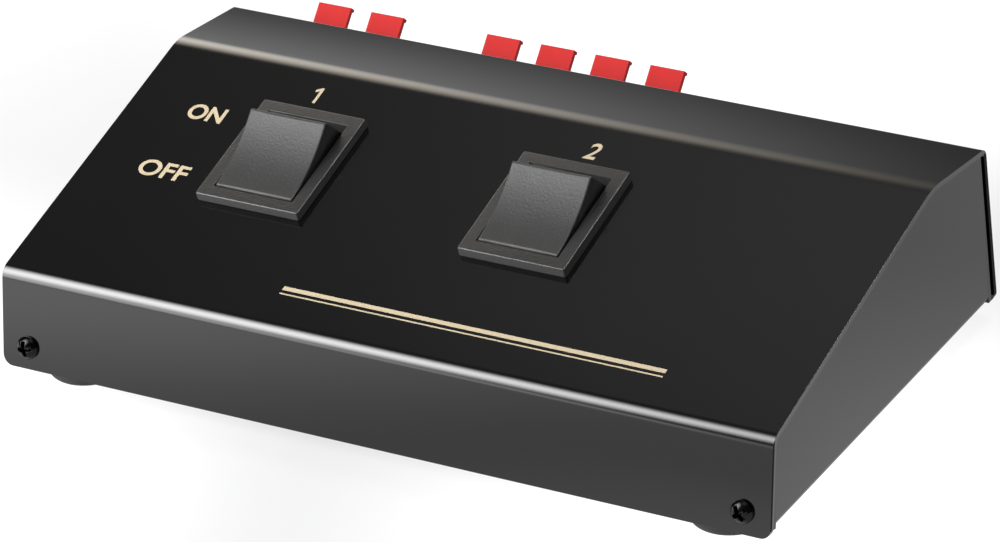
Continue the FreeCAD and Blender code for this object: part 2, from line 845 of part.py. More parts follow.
# ---------------------------------------------------------------------------------------------
# Rocker switches


def make_housing(number):
    """Bezel and body in one moulding: open above, a floor below with four slots for blades."""
    body = new_body(
        f"switch_{number}_housing", slope_frame(f"Dim.switch_{number}_x", "Dim.switch_along")
    )
    shell = new_sketch(body, "XY_Plane")
    centred(shell, "At.housing_width", "-At.housing_length / 2", "At.housing_length / 2")
    pad(body, shell, "At.housing_depth", reverse=True)
    bezel = new_sketch(body, "XY_Plane")
    centred(bezel, "At.bezel_width", "-At.bezel_length / 2", "At.bezel_length / 2")
    pad(body, bezel, "Dim.bezel_height")
    doc.recompute()
    half_width, half_length = value("At.bezel_width / 2"), value("At.bezel_length / 2")
    names = edges_where(
        body.Tip.Shape,
        lambda middle, way: abs(way.z) > 0.99
        and abs(abs(middle.x) - half_width) < NEAR
        and abs(abs(middle.y) - half_length) < NEAR,
    )
    soften(body, names, "Dim.bezel_corner")
    doc.recompute()
    top = value("Dim.bezel_height")
    rim = [
        f"Edge{n}"
        for n, edge in enumerate(body.Tip.Shape.Edges, start=1)
        if all(abs(vertex.Z - top) < NEAR for vertex in edge.Vertexes)
    ]
    soften(body, rim, "Dim.bezel_edge")

    mouth = new_sketch(body, "XY_Plane", shifted("0", "0", "Dim.bezel_height"))
    centred(mouth, "At.aperture_width", "-At.aperture_length / 2", "At.aperture_length / 2")
    pocket(body, mouth, "Dim.bezel_height + At.housing_depth - Dim.housing_floor")

    bearing = new_sketch(body, "YZ_Plane")
    circle(bearing, "0", "-Dim.pivot_depth", "Dim.pivot_radius + Dim.pivot_gap")
    pocket(body, bearing, "2 * At.housing_width", symmetric=True)

    slots = new_sketch(body, "XY_Plane", shifted("0", "0", "-At.housing_depth"))
    for pole in ("-Dim.pole_x", "Dim.pole_x"):
        for along in ("0", "-Dim.blade_step"):
            rectangle(
                slots,
                f"{pole} - Dim.blade_thickness / 2 - Dim.blade_gap",
                f"{along} - Dim.blade_width / 2 - Dim.blade_gap",
                f"{pole} + Dim.blade_thickness / 2 + Dim.blade_gap",
                f"{along} + Dim.blade_width / 2 + Dim.blade_gap",
            )
    pocket(body, slots, "4 * Dim.housing_floor", symmetric=True)

    for sign in ("-", "+"):
        clip = new_sketch(body, "YZ_Plane")
        wall = f"{sign}At.housing_length / 2"
        top = "-(Dim.sheet_thickness + Dim.clip_gap)"
        outline(
            clip,
            [
                (wall, top),
                (f"{sign}(At.housing_length / 2 + Dim.clip_reach)", top),
                (wall, f"{top} - Dim.clip_height"),
            ],
        )
        pad(body, clip, "Dim.clip_width", symmetric=True)
    return body


def make_rocker(number):
    """A hollow key with a dished top, two pivot pins and two stems; it rests tilted back."""
    body = new_body(f"rocker_{number}", switch_pivot(number, "Dim.rocker_swing"))
    lean = "tan(Dim.rocker_lean)"
    foot = "At.rocker_foot"
    side = new_sketch(body, "YZ_Plane")
    outline(
        side,
        [
            (f"-{foot}", "0"),
            (foot, "0"),
            ("Dim.rocker_half", "Dim.rocker_rise"),
            ("-Dim.rocker_half", "Dim.rocker_rise"),
        ],
        arcs={2: "-Dim.rocker_hollow"},
    )
    pad(body, side, "Dim.rocker_width", symmetric=True)
    doc.recompute()
    rise = value("Dim.rocker_rise")
    names = edges_where(
        body.Tip.Shape,
        lambda middle, way: abs(way.x) > 0.99 and abs(middle.z - rise) < NEAR,
    )
    soften(body, names, "Dim.rocker_edge")

    wall = "Dim.rocker_wall / cos(Dim.rocker_lean)"
    hollow = new_sketch(body, "YZ_Plane")
    roof = f"(Dim.rocker_half + (Dim.rocker_rise - Dim.rocker_roof) * {lean} - {wall})"
    outline(
        hollow,
        [
            (f"{wall} - {foot} - Dim.rocker_wall * {lean}", "-Dim.rocker_wall"),
            (f"{foot} + Dim.rocker_wall * {lean} - {wall}", "-Dim.rocker_wall"),
            (roof, "Dim.rocker_roof"),
            (f"-{roof}", "Dim.rocker_roof"),
        ],
    )
    pocket(body, hollow, "Dim.rocker_width - 2 * Dim.rocker_wall", symmetric=True)

    stems = new_sketch(body, "XY_Plane", shifted("0", "0", "-Dim.stem_reach"))
    bores = new_sketch(body, "XY_Plane", shifted("0", "0", "-Dim.stem_reach"))
    for pole in ("-Dim.pole_x", "Dim.pole_x"):
        circle(stems, pole, "0", "At.stem_radius")
        circle(bores, pole, "0", "At.stem_bore")
    pad(body, stems, "Dim.stem_reach + Dim.rocker_roof")
    pocket(body, bores, "Dim.stem_reach + Dim.rocker_roof", reverse=True)

    reach = "(At.aperture_width - Dim.rocker_width + Dim.rocker_wall) / 2 + Dim.pivot_reach"
    for sign in ("-", "+"):
        middle_of_wall = f"{sign}(Dim.rocker_width - Dim.rocker_wall) / 2"
        pins = new_sketch(body, "YZ_Plane", shifted("0", "0", middle_of_wall))
        circle(pins, "0", "0", "Dim.pivot_radius")
        pad(body, pins, reach, reverse=sign == "-")
    return body


def switch_pivot(number, tilt="0"):
    """The frame at a rocker's pivot, turned from its middle position by a tilt."""
    return slope_frame(
        f"Dim.switch_{number}_x", "Dim.switch_along", "-Dim.pivot_depth", tilt
    )


def make_plungers(number):
    """Two round nosed pins that slide in the rocker's stems and ride on the contact levers."""
    members = []
    for pole, sign in enumerate("-+", start=1):
        frame = switch_pivot(number, "Dim.rocker_swing")
        offset = shifted(f"{sign}Dim.pole_x", "0", "0")
        body = new_body(f"switch_{number}_plunger_{pole}", f"{frame} * {offset}")
        side = new_sketch(body, "XZ_Plane")
        outline(
            side,
            [
                ("0", "-Dim.plunger_reach"),
                ("Dim.plunger_radius", "Dim.plunger_radius - Dim.plunger_reach"),
                ("Dim.plunger_radius", "-Dim.plunger_top"),
                ("0", "-Dim.plunger_top"),
            ],
            arcs={0: "Dim.plunger_radius"},
        )
        revolve(body, side)
        members.append(body)
    return group(f"switch_{number}_plungers", members)


def make_switch_springs(number):
    """Two coil springs in the rocker's stems, between the roof and the plungers."""
    wire = value("Dim.switch_spring_wire")
    low = value("-Dim.plunger_top") + wire
    high = value("Dim.rocker_roof") - wire
    pitch = (high - low) / value("Dim.switch_spring_turns")
    coil = value("Dim.switch_spring_coil")
    path = Part.Wire(Part.makeHelix(pitch, high - low, coil).Edges)
    section = Part.Wire(Part.makeCircle(wire / 2, Vector(coil, 0, 0), Vector(0, 1, 0)).Edges)
    spring = path.makePipeShell([section], True, True)
    shapes = []
    for sign in (-1, 1):
        copy = spring.copy()
        copy.translate(Vector(sign * value("Dim.pole_x"), 0, low))
        shapes.append(copy)
    made = doc.addObject("Part::Feature", f"switch_{number}_springs")
    made.Label = f"switch_{number}_springs"
    made.Shape = Part.makeCompound(shapes)
    made.setExpression("Placement", switch_pivot(number, "Dim.rocker_swing"))
    return made


def make_contact_levers(number):
    """Two strips that see-saw on the middle blades; at rest their front ends are up."""
    members = []
    for pole, sign in enumerate("-+", start=1):
        frame = slope_frame(
            f"Dim.switch_{number}_x {sign} Dim.pole_x",
            "Dim.switch_along",
            "-At.fulcrum",
            "-Dim.contact_tilt",
        )
        body = new_body(f"switch_{number}_contact_lever_{pole}", frame)
        side = new_sketch(body, "YZ_Plane")
        low = "Dim.contact_gap / 2"
        rectangle(
            side,
            "-Dim.contact_half",
            low,
            "Dim.contact_half",
            f"{low} + Dim.contact_thickness",
        )
        pad(body, side, "Dim.contact_width", symmetric=True)
        members.append(body)
    return group(f"switch_{number}_contact_levers", members)


def make_switch_terminals(number):
    """Two middle blades with a fulcrum on top and two front blades with a fixed contact."""
    members = []
    floor = "-(At.housing_depth - Dim.housing_floor)"
    half = "Dim.blade_width / 2"
    for pole, sign in enumerate("-+", start=1):
        frame = slope_frame(f"Dim.switch_{number}_x {sign} Dim.pole_x", "Dim.switch_along")
        middle = new_body(f"switch_{number}_middle_blade_{pole}", frame)
        side = new_sketch(middle, "YZ_Plane")
        knee = "-(At.fulcrum + Dim.fulcrum_height)"
        outline(
            side,
            [
                (f"-{half}", "-At.blade_end"),
                (half, "-At.blade_end"),
                (half, knee),
                ("Dim.fulcrum_width / 2", "-At.fulcrum"),
                ("-Dim.fulcrum_width / 2", "-At.fulcrum"),
                (f"-{half}", knee),
            ],
        )
        pad(middle, side, "Dim.blade_thickness", symmetric=True)
        front = new_body(f"switch_{number}_front_blade_{pole}", frame)
        side = new_sketch(front, "YZ_Plane")
        rectangle(
            side,
            f"-Dim.blade_step - {half}",
            "-At.blade_end",
            f"-Dim.blade_step + {half}",
            "-At.fixed_contact",
        )
        pad(front, side, "Dim.blade_thickness", symmetric=True)
        members += [middle, front]
    return group(f"switch_{number}_terminals", members)


def make_switch(number):
    """All the pieces of one rocker switch."""
    return [
        make_housing(number),
        make_rocker(number),
        make_plungers(number),
        make_switch_springs(number),
        make_contact_levers(number),
        make_switch_terminals(number),
    ]


# ---------------------------------------------------------------------------------------------
# Spring terminals. Rows and columns are counted from the lower left, seen from the front.

ROWS = ("lower", "upper")


def column_x(block, column):
    """Distance of a column of cells from the middle of its block."""
    return f"({column} - (Dim.{block}_columns - 1) / 2) * Dim.column_pitch"


def row_up(row):
    """Height of a row's lever pivots along the back."""
    return f"(Dim.lower_row_rise + {row} * Dim.row_pitch)"


def make_block(block):
    """Moulded block: a flange with two ears on the back, and cells that open to the outside."""
    body = new_body(f"{block}_terminal_block", back_frame(f"At.{block}_block_x", row_up(0)))
    half = block_half(block)
    low, high = "-At.block_bottom", "(Dim.row_pitch + At.block_top)"
    flange_half = f"({half} + Dim.flange_lip)"
    ear_low = "(Dim.row_pitch - Dim.ear_height) / 2"
    ear_high = "(Dim.row_pitch + Dim.ear_height) / 2"
    ear_end = f"({flange_half} + Dim.ear_reach)"

    flange = new_sketch(body, "XZ_Plane")
    outline(
        flange,
        [
            (f"-{flange_half}", f"{low} - Dim.flange_lip"),
            (flange_half, f"{low} - Dim.flange_lip"),
            (flange_half, ear_low),
            (f"{ear_end} - Dim.ear_corner", ear_low),
            (ear_end, f"{ear_low} + Dim.ear_corner"),
            (ear_end, f"{ear_high} - Dim.ear_corner"),
            (f"{ear_end} - Dim.ear_corner", ear_high),
            (flange_half, ear_high),
            (flange_half, f"{high} + Dim.flange_lip"),
            (f"-{flange_half}", f"{high} + Dim.flange_lip"),
            (f"-{flange_half}", ear_high),
            (f"Dim.ear_corner - {ear_end}", ear_high),
            (f"-{ear_end}", f"{ear_high} - Dim.ear_corner"),
            (f"-{ear_end}", f"{ear_low} + Dim.ear_corner"),
            (f"Dim.ear_corner - {ear_end}", ear_low),
            (f"-{flange_half}", ear_low),
        ],
        arcs={number: "Dim.ear_corner" for number in (3, 5, 11, 13)},
    )
    for sign in ("-", "+"):
        circle(
            flange,
            f"0 {sign} {ear_x(block)}",
            "Dim.row_pitch / 2",
            "Dim.ear_screw_radius + Dim.screw_hole_gap",
        )
    pad(body, flange, "Dim.flange_thickness", reverse=True)

    front = new_sketch(body, "XZ_Plane")
    rectangle(front, f"-{half}", low, half, high)
    pad(body, front, "Dim.block_face", reverse=True)
    doc.recompute()
    face = value("Dim.block_face")
    names = edges_where(body.Tip.Shape, lambda middle, way: abs(middle.y - face) < NEAR)
    soften(body, names, "Dim.block_edge")
    inside = new_sketch(body, "XZ_Plane")
    rectangle(inside, f"-{half}", low, half, high)
    pad(body, inside, "At.block_inside")

    first = column_x(block, 0)
    across = shifted("0", "0", first)
    chambers = new_sketch(body, "YZ_Plane", across)
    inner_face = "Dim.block_face - Dim.face_wall"
    for row in range(len(ROWS)):
        up = f"{row} * Dim.row_pitch"
        outline(
            chambers,
            [
                ("-Dim.chamber_back", f"{up} - Dim.chamber_bottom"),
                (inner_face, f"{up} - Dim.chamber_bottom"),
                (inner_face, f"{up} - Dim.slot_bottom"),
                ("2 * Dim.block_face", f"{up} - Dim.slot_bottom"),
                ("2 * Dim.block_face", f"{up} + Dim.chamber_top"),
                ("-Dim.chamber_back", f"{up} + Dim.chamber_top"),
            ],
        )
    cuts = [pocket(body, chambers, "At.cell_width", symmetric=True)]
    bearings = new_sketch(body, "YZ_Plane", across)
    for row in range(len(ROWS)):
        circle(
            bearings,
            "At.lever_pivot_out",
            f"{row} * Dim.row_pitch",
            "Dim.lever_pin_radius + Dim.thread_gap",
        )
    depth = "Dim.lever_width + 2 * (Dim.lever_pin_reach + Dim.thread_gap)"
    cuts.append(pocket(body, bearings, depth, symmetric=True))

    holes = new_sketch(body, "XZ_Plane", shifted(first, "0", "0"))
    for row in range(len(ROWS)):
        circle(holes, "0", f"{row} * Dim.row_pitch - Dim.wire_hole_drop", "Dim.wire_hole_radius")
    cuts.append(pocket(body, holes, "2 * Dim.block_face"))
    tags = new_sketch(body, "XZ_Plane", shifted(first, "0", "0"))
    for row in range(len(ROWS)):
        low_edge = f"{row} * Dim.row_pitch - At.tag_drop"
        centred(
            tags,
            "Dim.tag_width + 2 * Dim.tag_gap",
            f"{low_edge} - Dim.tag_gap",
            f"{low_edge} + Dim.tag_thickness + Dim.tag_gap",
        )
    cuts.append(pocket(body, tags, "2 * At.block_inside", reverse=True))

    pattern = body.newObject("PartDesign::LinearPattern", f"{block}_columns")
    pattern.Originals = cuts
    pattern.Direction = (next(f for f in body.Origin.OriginFeatures if f.Role == "X_Axis"), [""])
    pattern.setExpression("Length", f"(Dim.{block}_columns - 1) * Dim.column_pitch")
    pattern.setExpression("Occurrences", f"Dim.{block}_columns")
    body.Tip = pattern
    doc.recompute()

    radius = value("Dim.wire_hole_radius")
    rims = [
        f"Edge{n}"
        for n, edge in enumerate(pattern.Shape.Edges, start=1)
        if isinstance(edge.Curve, Part.Circle)
        and abs(edge.Curve.Radius - radius) < 1e-6
        and abs(edge.Curve.Center.y - face) < NEAR
    ]
    funnel = body.newObject("PartDesign::Chamfer", f"{block}_funnels")
    funnel.Base = (pattern, rims)
    funnel.setExpression("Size", "Dim.wire_hole_funnel")
    return body


def make_lever(block, row, column):
    """A push lever: flat arm with a lip under its end, boss with two pins, and two legs."""
    x = f"At.{block}_block_x + {column_x(block, column)}"
    frame = back_frame(x, row_up(row), "At.lever_pivot_out", "Dim.lever_rise")
    body = new_body(f"{block}_lever_{ROWS[row]}_{column + 1}", frame)
    half = "Dim.lever_thickness / 2"
    lip = "Dim.lever_length - Dim.lever_lip_length"
    points = [
        ("0", f"-{half}"),
        (lip, f"-{half}"),
        (lip, "-At.lever_under"),
        ("Dim.lever_length", "-At.lever_under"),
        ("Dim.lever_length", half),
        ("0", half),
    ]
    arm = new_sketch(body, "YZ_Plane")
    outline(arm, points)
    pad(body, arm, "Dim.lever_width", symmetric=True)
    boss = new_sketch(body, "YZ_Plane")
    circle(boss, "0", "0", "Dim.lever_boss")
    pad(body, boss, "Dim.lever_width", symmetric=True)
    pins = new_sketch(body, "YZ_Plane")
    circle(pins, "0", "0", "Dim.lever_pin_radius")
    pad(body, pins, "Dim.lever_width + 2 * Dim.lever_pin_reach", symmetric=True)

    turn = "-(Dim.lever_rise + Dim.lever_leg_angle)"
    for sign in ("-", "+"):
        x = f"{sign}(Dim.lever_width - Dim.lever_leg_width) / 2"
        leg = new_sketch(
            body, "YZ_Plane", f"placement(vector(0; 0; {x}); rotation(vector(0; 0; 1); {turn}))"
        )
        width = "Dim.lever_leg_thickness / 2"
        rectangle(leg, "0", f"-{width}", "Dim.lever_leg_length", width)
        pad(body, leg, "Dim.lever_leg_width", symmetric=True)
    return body


def cell_part(kind, block, row, column):
    """An empty body in a cell's frame, with a sketch of its side view."""
    x = f"At.{block}_block_x + {column_x(block, column)}"
    body = new_body(f"{block}_{kind}_{ROWS[row]}_{column + 1}", back_frame(x, row_up(row)))
    return body, new_sketch(body, "YZ_Plane")


def make_tag(block, row, column):
    """A flat solder tag on the floor of its chamber, out through the block's inner wall."""
    body, side = cell_part("tag", block, row, column)
    end = "Dim.block_face - Dim.face_wall - Dim.wire_gap"
    rectangle(side, "-At.tag_end", "-At.tag_drop", end, "Dim.tag_thickness - At.tag_drop")
    pad(body, side, "Dim.tag_width", symmetric=True)
    return body


def make_clamp(block, row, column):
    """A leaf spring bent round the back of its chamber, with a tongue in front of the legs."""
    body, side = cell_part("clamp", block, row, column)
    thick = "Dim.clamp_thickness"
    back = "(Dim.tag_gap - Dim.chamber_back)"
    inner = f"({back} + {thick})"
    bend = f"({back} + Dim.clamp_bend)"
    floor = "(Dim.tag_thickness + Dim.tag_gap - At.tag_drop)"
    top = "Dim.chamber_top - Dim.tag_gap"
    outline(
        side,
        [
            (back, top),
            (back, f"{floor} + Dim.clamp_bend"),
            (bend, floor),
            ("At.clamp_knee_out", floor),
            ("At.clamp_tip_out", "-Dim.clamp_tip_drop"),
            (f"At.clamp_tip_out - {thick}", "-Dim.clamp_tip_drop"),
            (f"At.clamp_knee_out - {thick}", f"{floor} + {thick}"),
            (bend, f"{floor} + {thick}"),
            (inner, f"{floor} + Dim.clamp_bend"),
            (inner, top),
        ],
    )
    pad(body, side, "Dim.clamp_width", symmetric=True)
    return body


def make_ear_fasteners():
    """A screw and a nut at each ear of both blocks."""
    screws, nuts = [], []
    length = (
        "Dim.flange_thickness + Dim.sheet_thickness + Dim.ear_nut_height + Dim.ear_screw_spare"
    )
    height = f"{row_up(0)} + Dim.row_pitch / 2"
    for block in ("input", "output"):
        for sign in "-+":
            number = len(screws) + 1
            x = f"At.{block}_block_x {sign} {ear_x(block)}"
            seat = looking(back_frame(x, height, "Dim.flange_thickness"), -90)
            screws.append(make_screw(f"terminal_screw_{number}", seat, "ear_screw", length))
            inside = looking(back_frame(x, height, "-Dim.sheet_thickness"), -90)
            nuts.append(make_nut(f"terminal_nut_{number}", inside, "ear"))
    return [group("terminal_block_screws", screws), group("terminal_block_nuts", nuts)]


def make_terminals():
    """Both blocks with the levers, tags and clamp springs of all their cells."""
    made = make_ear_fasteners()
    for block in ("input", "output"):
        cells = [
            (row, column)
            for row in range(len(ROWS))
            for column in range(round(value(f"Dim.{block}_columns")))
        ]
        made.append(make_block(block))
        made += [make_lever(block, *cell) for cell in cells]
        made.append(group(f"{block}_tags", [make_tag(block, *cell) for cell in cells]))
        clamps = [make_clamp(block, *cell) for cell in cells]
        made.append(group(f"{block}_clamp_springs", clamps))
    return made


# ---------------------------------------------------------------------------------------------
# Hook-up wires


def frame_value(expression):
    """The Placement that a frame's expression has now."""
    return sheet.evalExpression(expression)


def tag_point(block, row, column, side):
    """Where a wire meets the end of a tag, and a point ahead of it; side is -1, 0 or 1."""
    x = f"At.{block}_block_x + {column_x(block, column)} + {side} * Dim.wire_spread"
    frame = frame_value(back_frame(x, row_up(row)))
    up = value("Dim.tag_thickness / 2 - At.tag_drop")
    end = value("-At.tag_end - Dim.wire_gap")
    ahead = end - value("Dim.wire_lead")
    return frame.multVec(Vector(0, end, up)), frame.multVec(Vector(0, ahead, up))


def blade_point(number, pole, along, side):
    """Where a wire meets the end of a blade, and a point below it; side is -1, 0 or 1."""
    x = f"Dim.switch_{number}_x + {pole} * Dim.pole_x"
    place = f"Dim.switch_along + ({along}) + {side} * Dim.wire_spread"
    frame = frame_value(slope_frame(x, place))
    end = value("-At.blade_end - Dim.wire_gap")
    below = end - value("Dim.wire_lead")
    return frame.multVec(Vector(0, 0, end)), frame.multVec(Vector(0, 0, below))


# Share of the shorter run beside it that an arc takes.
ARC_SHARE = 0.45


def make_wire(label, points):
    """A round tube along straight runs that are joined by tangent arcs."""
    edges = []
    start = points[0]
    for before, corner, after in zip(points, points[1:], points[2:]):
        inward, outward = (before - corner), (after - corner)
        shorter = min(inward.Length, outward.Length)
        turn = math.pi - inward.getAngle(outward)
        inward.normalize()
        outward.normalize()
        cut = ARC_SHARE * shorter
        radius = cut / math.tan(turn / 2)
        print(f"{label}: arc radius {radius:.1f}")
        first, last = corner + inward * cut, corner + outward * cut
        to_centre = (inward + outward).normalize()
        centre = corner + to_centre * math.hypot(radius, cut)
        edges.append(Part.LineSegment(start, first).toShape())
        edges.append(Part.Arc(first, centre - to_centre * radius, last).toShape())
        start = last
    edges.append(Part.LineSegment(start, points[-1]).toShape())
    path = Part.Wire(edges)
    radius = value("Dim.wire_radius")
    section = Part.Wire(Part.makeCircle(radius, points[0], points[1] - points[0]).Edges)
    made = doc.addObject("Part::Feature", label)
    made.Label = label
    made.Shape = path.makePipeShell([section], True, False)
    full = math.pi * radius**2 * path.Length
    print(f"{label}: length {path.Length:.1f}, volume {made.Shape.Volume / full:.3f} of its tube")
    return made


# Each wire's own points, chosen by hand: the first list near the lead at its start, the second
# near the lead at its end. X and Y are measured from that lead and Z from the base's floor.
WIRE_ROUTES = {
    "feed_left": ([(2.8, -6.8, 11.5)], [(-7.0, 6.8, 5.1), (-2.7, 2.4, 2.7)]),
    "feed_right": ([(2.0, -5.7, 11.3)], [(-6.0, 8.2, 4.9), (-1.8, 3.6, 1.8)]),
    "link_left": ([(2.5, -0.3, 2.1), (7.5, -0.5, 1.1)], [(-9.7, -0.5, 1.1), (-3.1, -0.4, 1.9)]),
    "link_right": ([(2.9, -1.7, 2.1), (8.5, -3.1, 1.1)], [(-6.6, -3.1, 1.1), (-1.8, -1.5, 2.1)]),
    "output_a_left": (
        [(-1.8, -7.8, 12.3), (-7.8, -13.5, 8.1)],
        [(5.9, 8.9, 5.5), (3.3, 4.1, 3.6), (1.1, 0.9, 2.4)],
    ),
    "output_a_right": (
        [(-2.6, -7.3, 12.1)],
        [(14.5, 11.5, 6.7), (10.7, 3.9, 3.1), (6.9, -0.5, 1.7), (1.9, -1.1, 1.5)],
    ),
    "output_b_left": ([(3.3, -6.8, 11.9)], [(-1.7, 13.7, 6.7), (2.8, 7.7, 3.9), (2.8, 2.3, 2.7)]),
    "output_b_right": ([(2.7, -6.8, 11.9)], [(0.4, 13.5, 6.5), (3.2, 7.5, 3.9), (2.6, 2.5, 3.0)]),
    "return_left": ([(4.1, -5.3, 1.6), (12.1, -6.9, 1.1)], [(-9.3, -6.9, 1.1), (-2.3, -5.1, 1.6)]),
    "return_right": ([(3.4, -7.3, 3.2), (11.4, -10.4, 3.3)], [(-9.5, -10.4, 3.3), (-2.5, -7.5, 3.2)]),
    "return_link_left": ([(3.4, -3.5, 1.5), (8.9, -3.9, 1.0)], [(-7.2, -3.9, 1.0), (-2.5, -3.3, 1.5)]),
    "return_link_right": ([(2.9, -5.9, 3.1), (8.2, -7.5, 3.1)], [(-7.9, -7.5, 3.1), (-2.7, -5.9, 3.1)]),
}


def route_from(lead, steps):
    """The points of a route near one lead."""
    floor = value("At.floor_z")
    return [Vector(lead.x + x, lead.y + y, floor + z) for x, y, z in steps]


def make_wires():
    """Feeds, links and outputs of both poles, and the common returns between the blocks."""
    made = []
    for pole, side, column in ((-1, "left", 0), (1, "right", 1)):
        feed = tag_point("input", 1, column, 0), blade_point(1, pole, "0", 1)
        link = blade_point(1, pole, "0", -1), blade_point(2, pole, "0", -1)
        ends = {
            "feed": feed,
            "link": link,
            "output_a": (
                tag_point("output", 1, column, 0),
                blade_point(1, pole, "-Dim.blade_step", 0),
            ),
            "output_b": (
                tag_point("output", 1, column + 2, 0),
                blade_point(2, pole, "-Dim.blade_step", 0),
            ),
            "return": (tag_point("input", 0, column, 0), tag_point("output", 0, column, -1)),
            "return_link": (
                tag_point("output", 0, column, 1),
                tag_point("output", 0, column + 2, 0),
            ),
        }
        for kind, ((start, lead), (end, drop)) in ends.items():
            after_start, before_end = WIRE_ROUTES[f"{kind}_{side}"]
            route = route_from(lead, after_start) + route_from(drop, before_end)
            made.append(make_wire(f"wire_{kind}_{side}", [start, lead, *route, drop, end]))
    return made


# ---------------------------------------------------------------------------------------------
# The whole model

parts = [make_cover(), make_base()] + make_case_screws() + make_feet()
for switch in (1, 2):
    parts += make_switch(switch)
parts += make_terminals()
parts += make_wires()
doc.recompute()

for made in doc.Objects:
    for state in ("Invalid", "Error"):
        if state in made.State:
            raise RuntimeError(f"{made.Label} is {state}")
for part in parts:
    if part.Shape.isNull() or not part.Shape.isValid() or not part.Shape.Solids:
        raise RuntimeError(f"{part.Label} has no valid solid")

os.makedirs("parts", exist_ok=True)
for part in parts:
    part.Shape.exportStep(f"parts/{part.Label}.step")
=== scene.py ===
import json
import math

import bmesh
import bpy
import numpy as np
from mathutils import Matrix, Vector

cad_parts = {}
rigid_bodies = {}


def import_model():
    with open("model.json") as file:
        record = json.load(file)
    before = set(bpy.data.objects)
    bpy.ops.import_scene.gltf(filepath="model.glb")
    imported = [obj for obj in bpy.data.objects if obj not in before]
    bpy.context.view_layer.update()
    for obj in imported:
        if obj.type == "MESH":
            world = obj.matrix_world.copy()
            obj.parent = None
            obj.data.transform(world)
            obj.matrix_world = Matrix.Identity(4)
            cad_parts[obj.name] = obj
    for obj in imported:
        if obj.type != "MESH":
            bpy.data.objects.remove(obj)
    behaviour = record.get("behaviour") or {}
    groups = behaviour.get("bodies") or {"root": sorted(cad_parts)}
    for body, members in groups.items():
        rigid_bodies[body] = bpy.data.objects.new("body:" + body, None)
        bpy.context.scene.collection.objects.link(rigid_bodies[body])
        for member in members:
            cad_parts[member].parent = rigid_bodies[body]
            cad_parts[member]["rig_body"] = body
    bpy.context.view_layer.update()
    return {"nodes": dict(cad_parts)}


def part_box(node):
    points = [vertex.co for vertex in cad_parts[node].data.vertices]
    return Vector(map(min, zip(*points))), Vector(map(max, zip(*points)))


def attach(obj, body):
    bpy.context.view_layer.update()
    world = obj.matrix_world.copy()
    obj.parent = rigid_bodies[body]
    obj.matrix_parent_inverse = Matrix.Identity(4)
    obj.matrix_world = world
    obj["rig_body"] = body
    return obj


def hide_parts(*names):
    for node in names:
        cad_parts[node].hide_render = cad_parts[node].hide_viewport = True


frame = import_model()

# Lengths are in millimetres and angles in degrees until a mesh is made. X runs along the width,
# Y from front to back and Z up. Each flat of the cover has a frame of its own: x across,
# "along" up the sheet from the flat's first bend, and "out" away from its outer face.

# ---------------------------------------------------------------------------------------------
# Cover. One sheet of 1 mm steel, bent three times into a lip, a slope, a band and a back, with
# openings punched for the switches and the terminal blocks. It is stoved in black paint and
# held by two screws through the lip and two through the back.

MM = 0.001
BOX_WIDTH = 152.0
SHEET = 1.0
BEND_RADII = {1: 2.8, 2: 11.0, 3: 1.8}
BEND_STEPS = 13
COVER_CORNER = 2.0
COVER_BURR = 0.14
LIP_BOTTOM = 2.9
LIP_WAY, SLOPE_WAY, BAND_WAY, BACK_WAY = 79.0, 15.1, -7.4, -87.2
SLOPE_LENGTH, BAND_LENGTH, BACK_LENGTH = 61.8, 20.0, 30.94

SWITCH_X = {1: -39.5, 2: 13.65}
SWITCH_ALONG = 37.5
BLOCKS = {"input": (-55.0, 2), "output": (-7.95, 4)}
COLUMN_PITCH, ROW_PITCH = 11.24, 11.3
LOWER_ROW = 11.0
CELL_HALF, BLOCK_ABOVE, EAR_SCREW_OUT = 5.8, 5.0, 3.5
CASE_SCREW_X, CASE_SCREW_RISE = 70.7, 4.1
SCREW_SHANK, HOLE_GAP = 1.3, 0.15
SWITCH_OPENING = (9.7, 11.1)
BLOCK_GAP, PUNCH_CORNER = 0.2, 0.2
SCORE_SLACK = 1e-4


def direction(way):
    """A flat's direction seen from the side: its cosine and sine."""
    return np.array([math.cos(math.radians(way)), math.sin(math.radians(way))])


def outward(way):
    """The outward normal of a flat seen from the side: its direction, a quarter turn on."""
    return np.array([-math.sin(math.radians(way)), math.cos(math.radians(way))])


# The lip is as long as the other three flats leave it, so that both lower edges are level.
rise = SLOPE_LENGTH * direction(SLOPE_WAY) + BAND_LENGTH * direction(BAND_WAY)
LIP_LENGTH = -(rise + BACK_LENGTH * direction(BACK_WAY))[1] / direction(LIP_WAY)[1]
FLAT_WAYS = [LIP_WAY, SLOPE_WAY, BAND_WAY, BACK_WAY]
FLAT_LENGTHS = [LIP_LENGTH, SLOPE_LENGTH, BAND_LENGTH, BACK_LENGTH]
steps = [length * direction(way) for length, way in zip(FLAT_LENGTHS, FLAT_WAYS)]
front_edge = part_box("cover")[0].y / MM
CORNERS = np.vstack([[0, 0], np.cumsum(steps, axis=0)]) + [front_edge, LIP_BOTTOM]
LIP, SLOPE, BAND, BACK = range(4)


def seat(flat, x, along, out=0.0):
    """The point so far up a flat from its first corner, moved off its outer face."""
    y, z = CORNERS[flat] + along * direction(FLAT_WAYS[flat]) + out * outward(FLAT_WAYS[flat])
    return np.array([x, y, z])


def put(points, place, angle):
    """Local (x, along, out) points, turned about X by an angle and moved to a place."""
    points = np.asarray(points, float)
    y, z = direction(angle), outward(angle)
    turned = points[..., 1:2] * y + points[..., 2:3] * z
    return np.concatenate([points[..., :1], turned], axis=-1) + place


def shortened(bend):
    """How far before its corner a flat stops: radius times the tangent of half the turn."""
    turn = FLAT_WAYS[bend - 1] - FLAT_WAYS[bend]
    return BEND_RADII[bend] * math.tan(math.radians(turn) / 2)


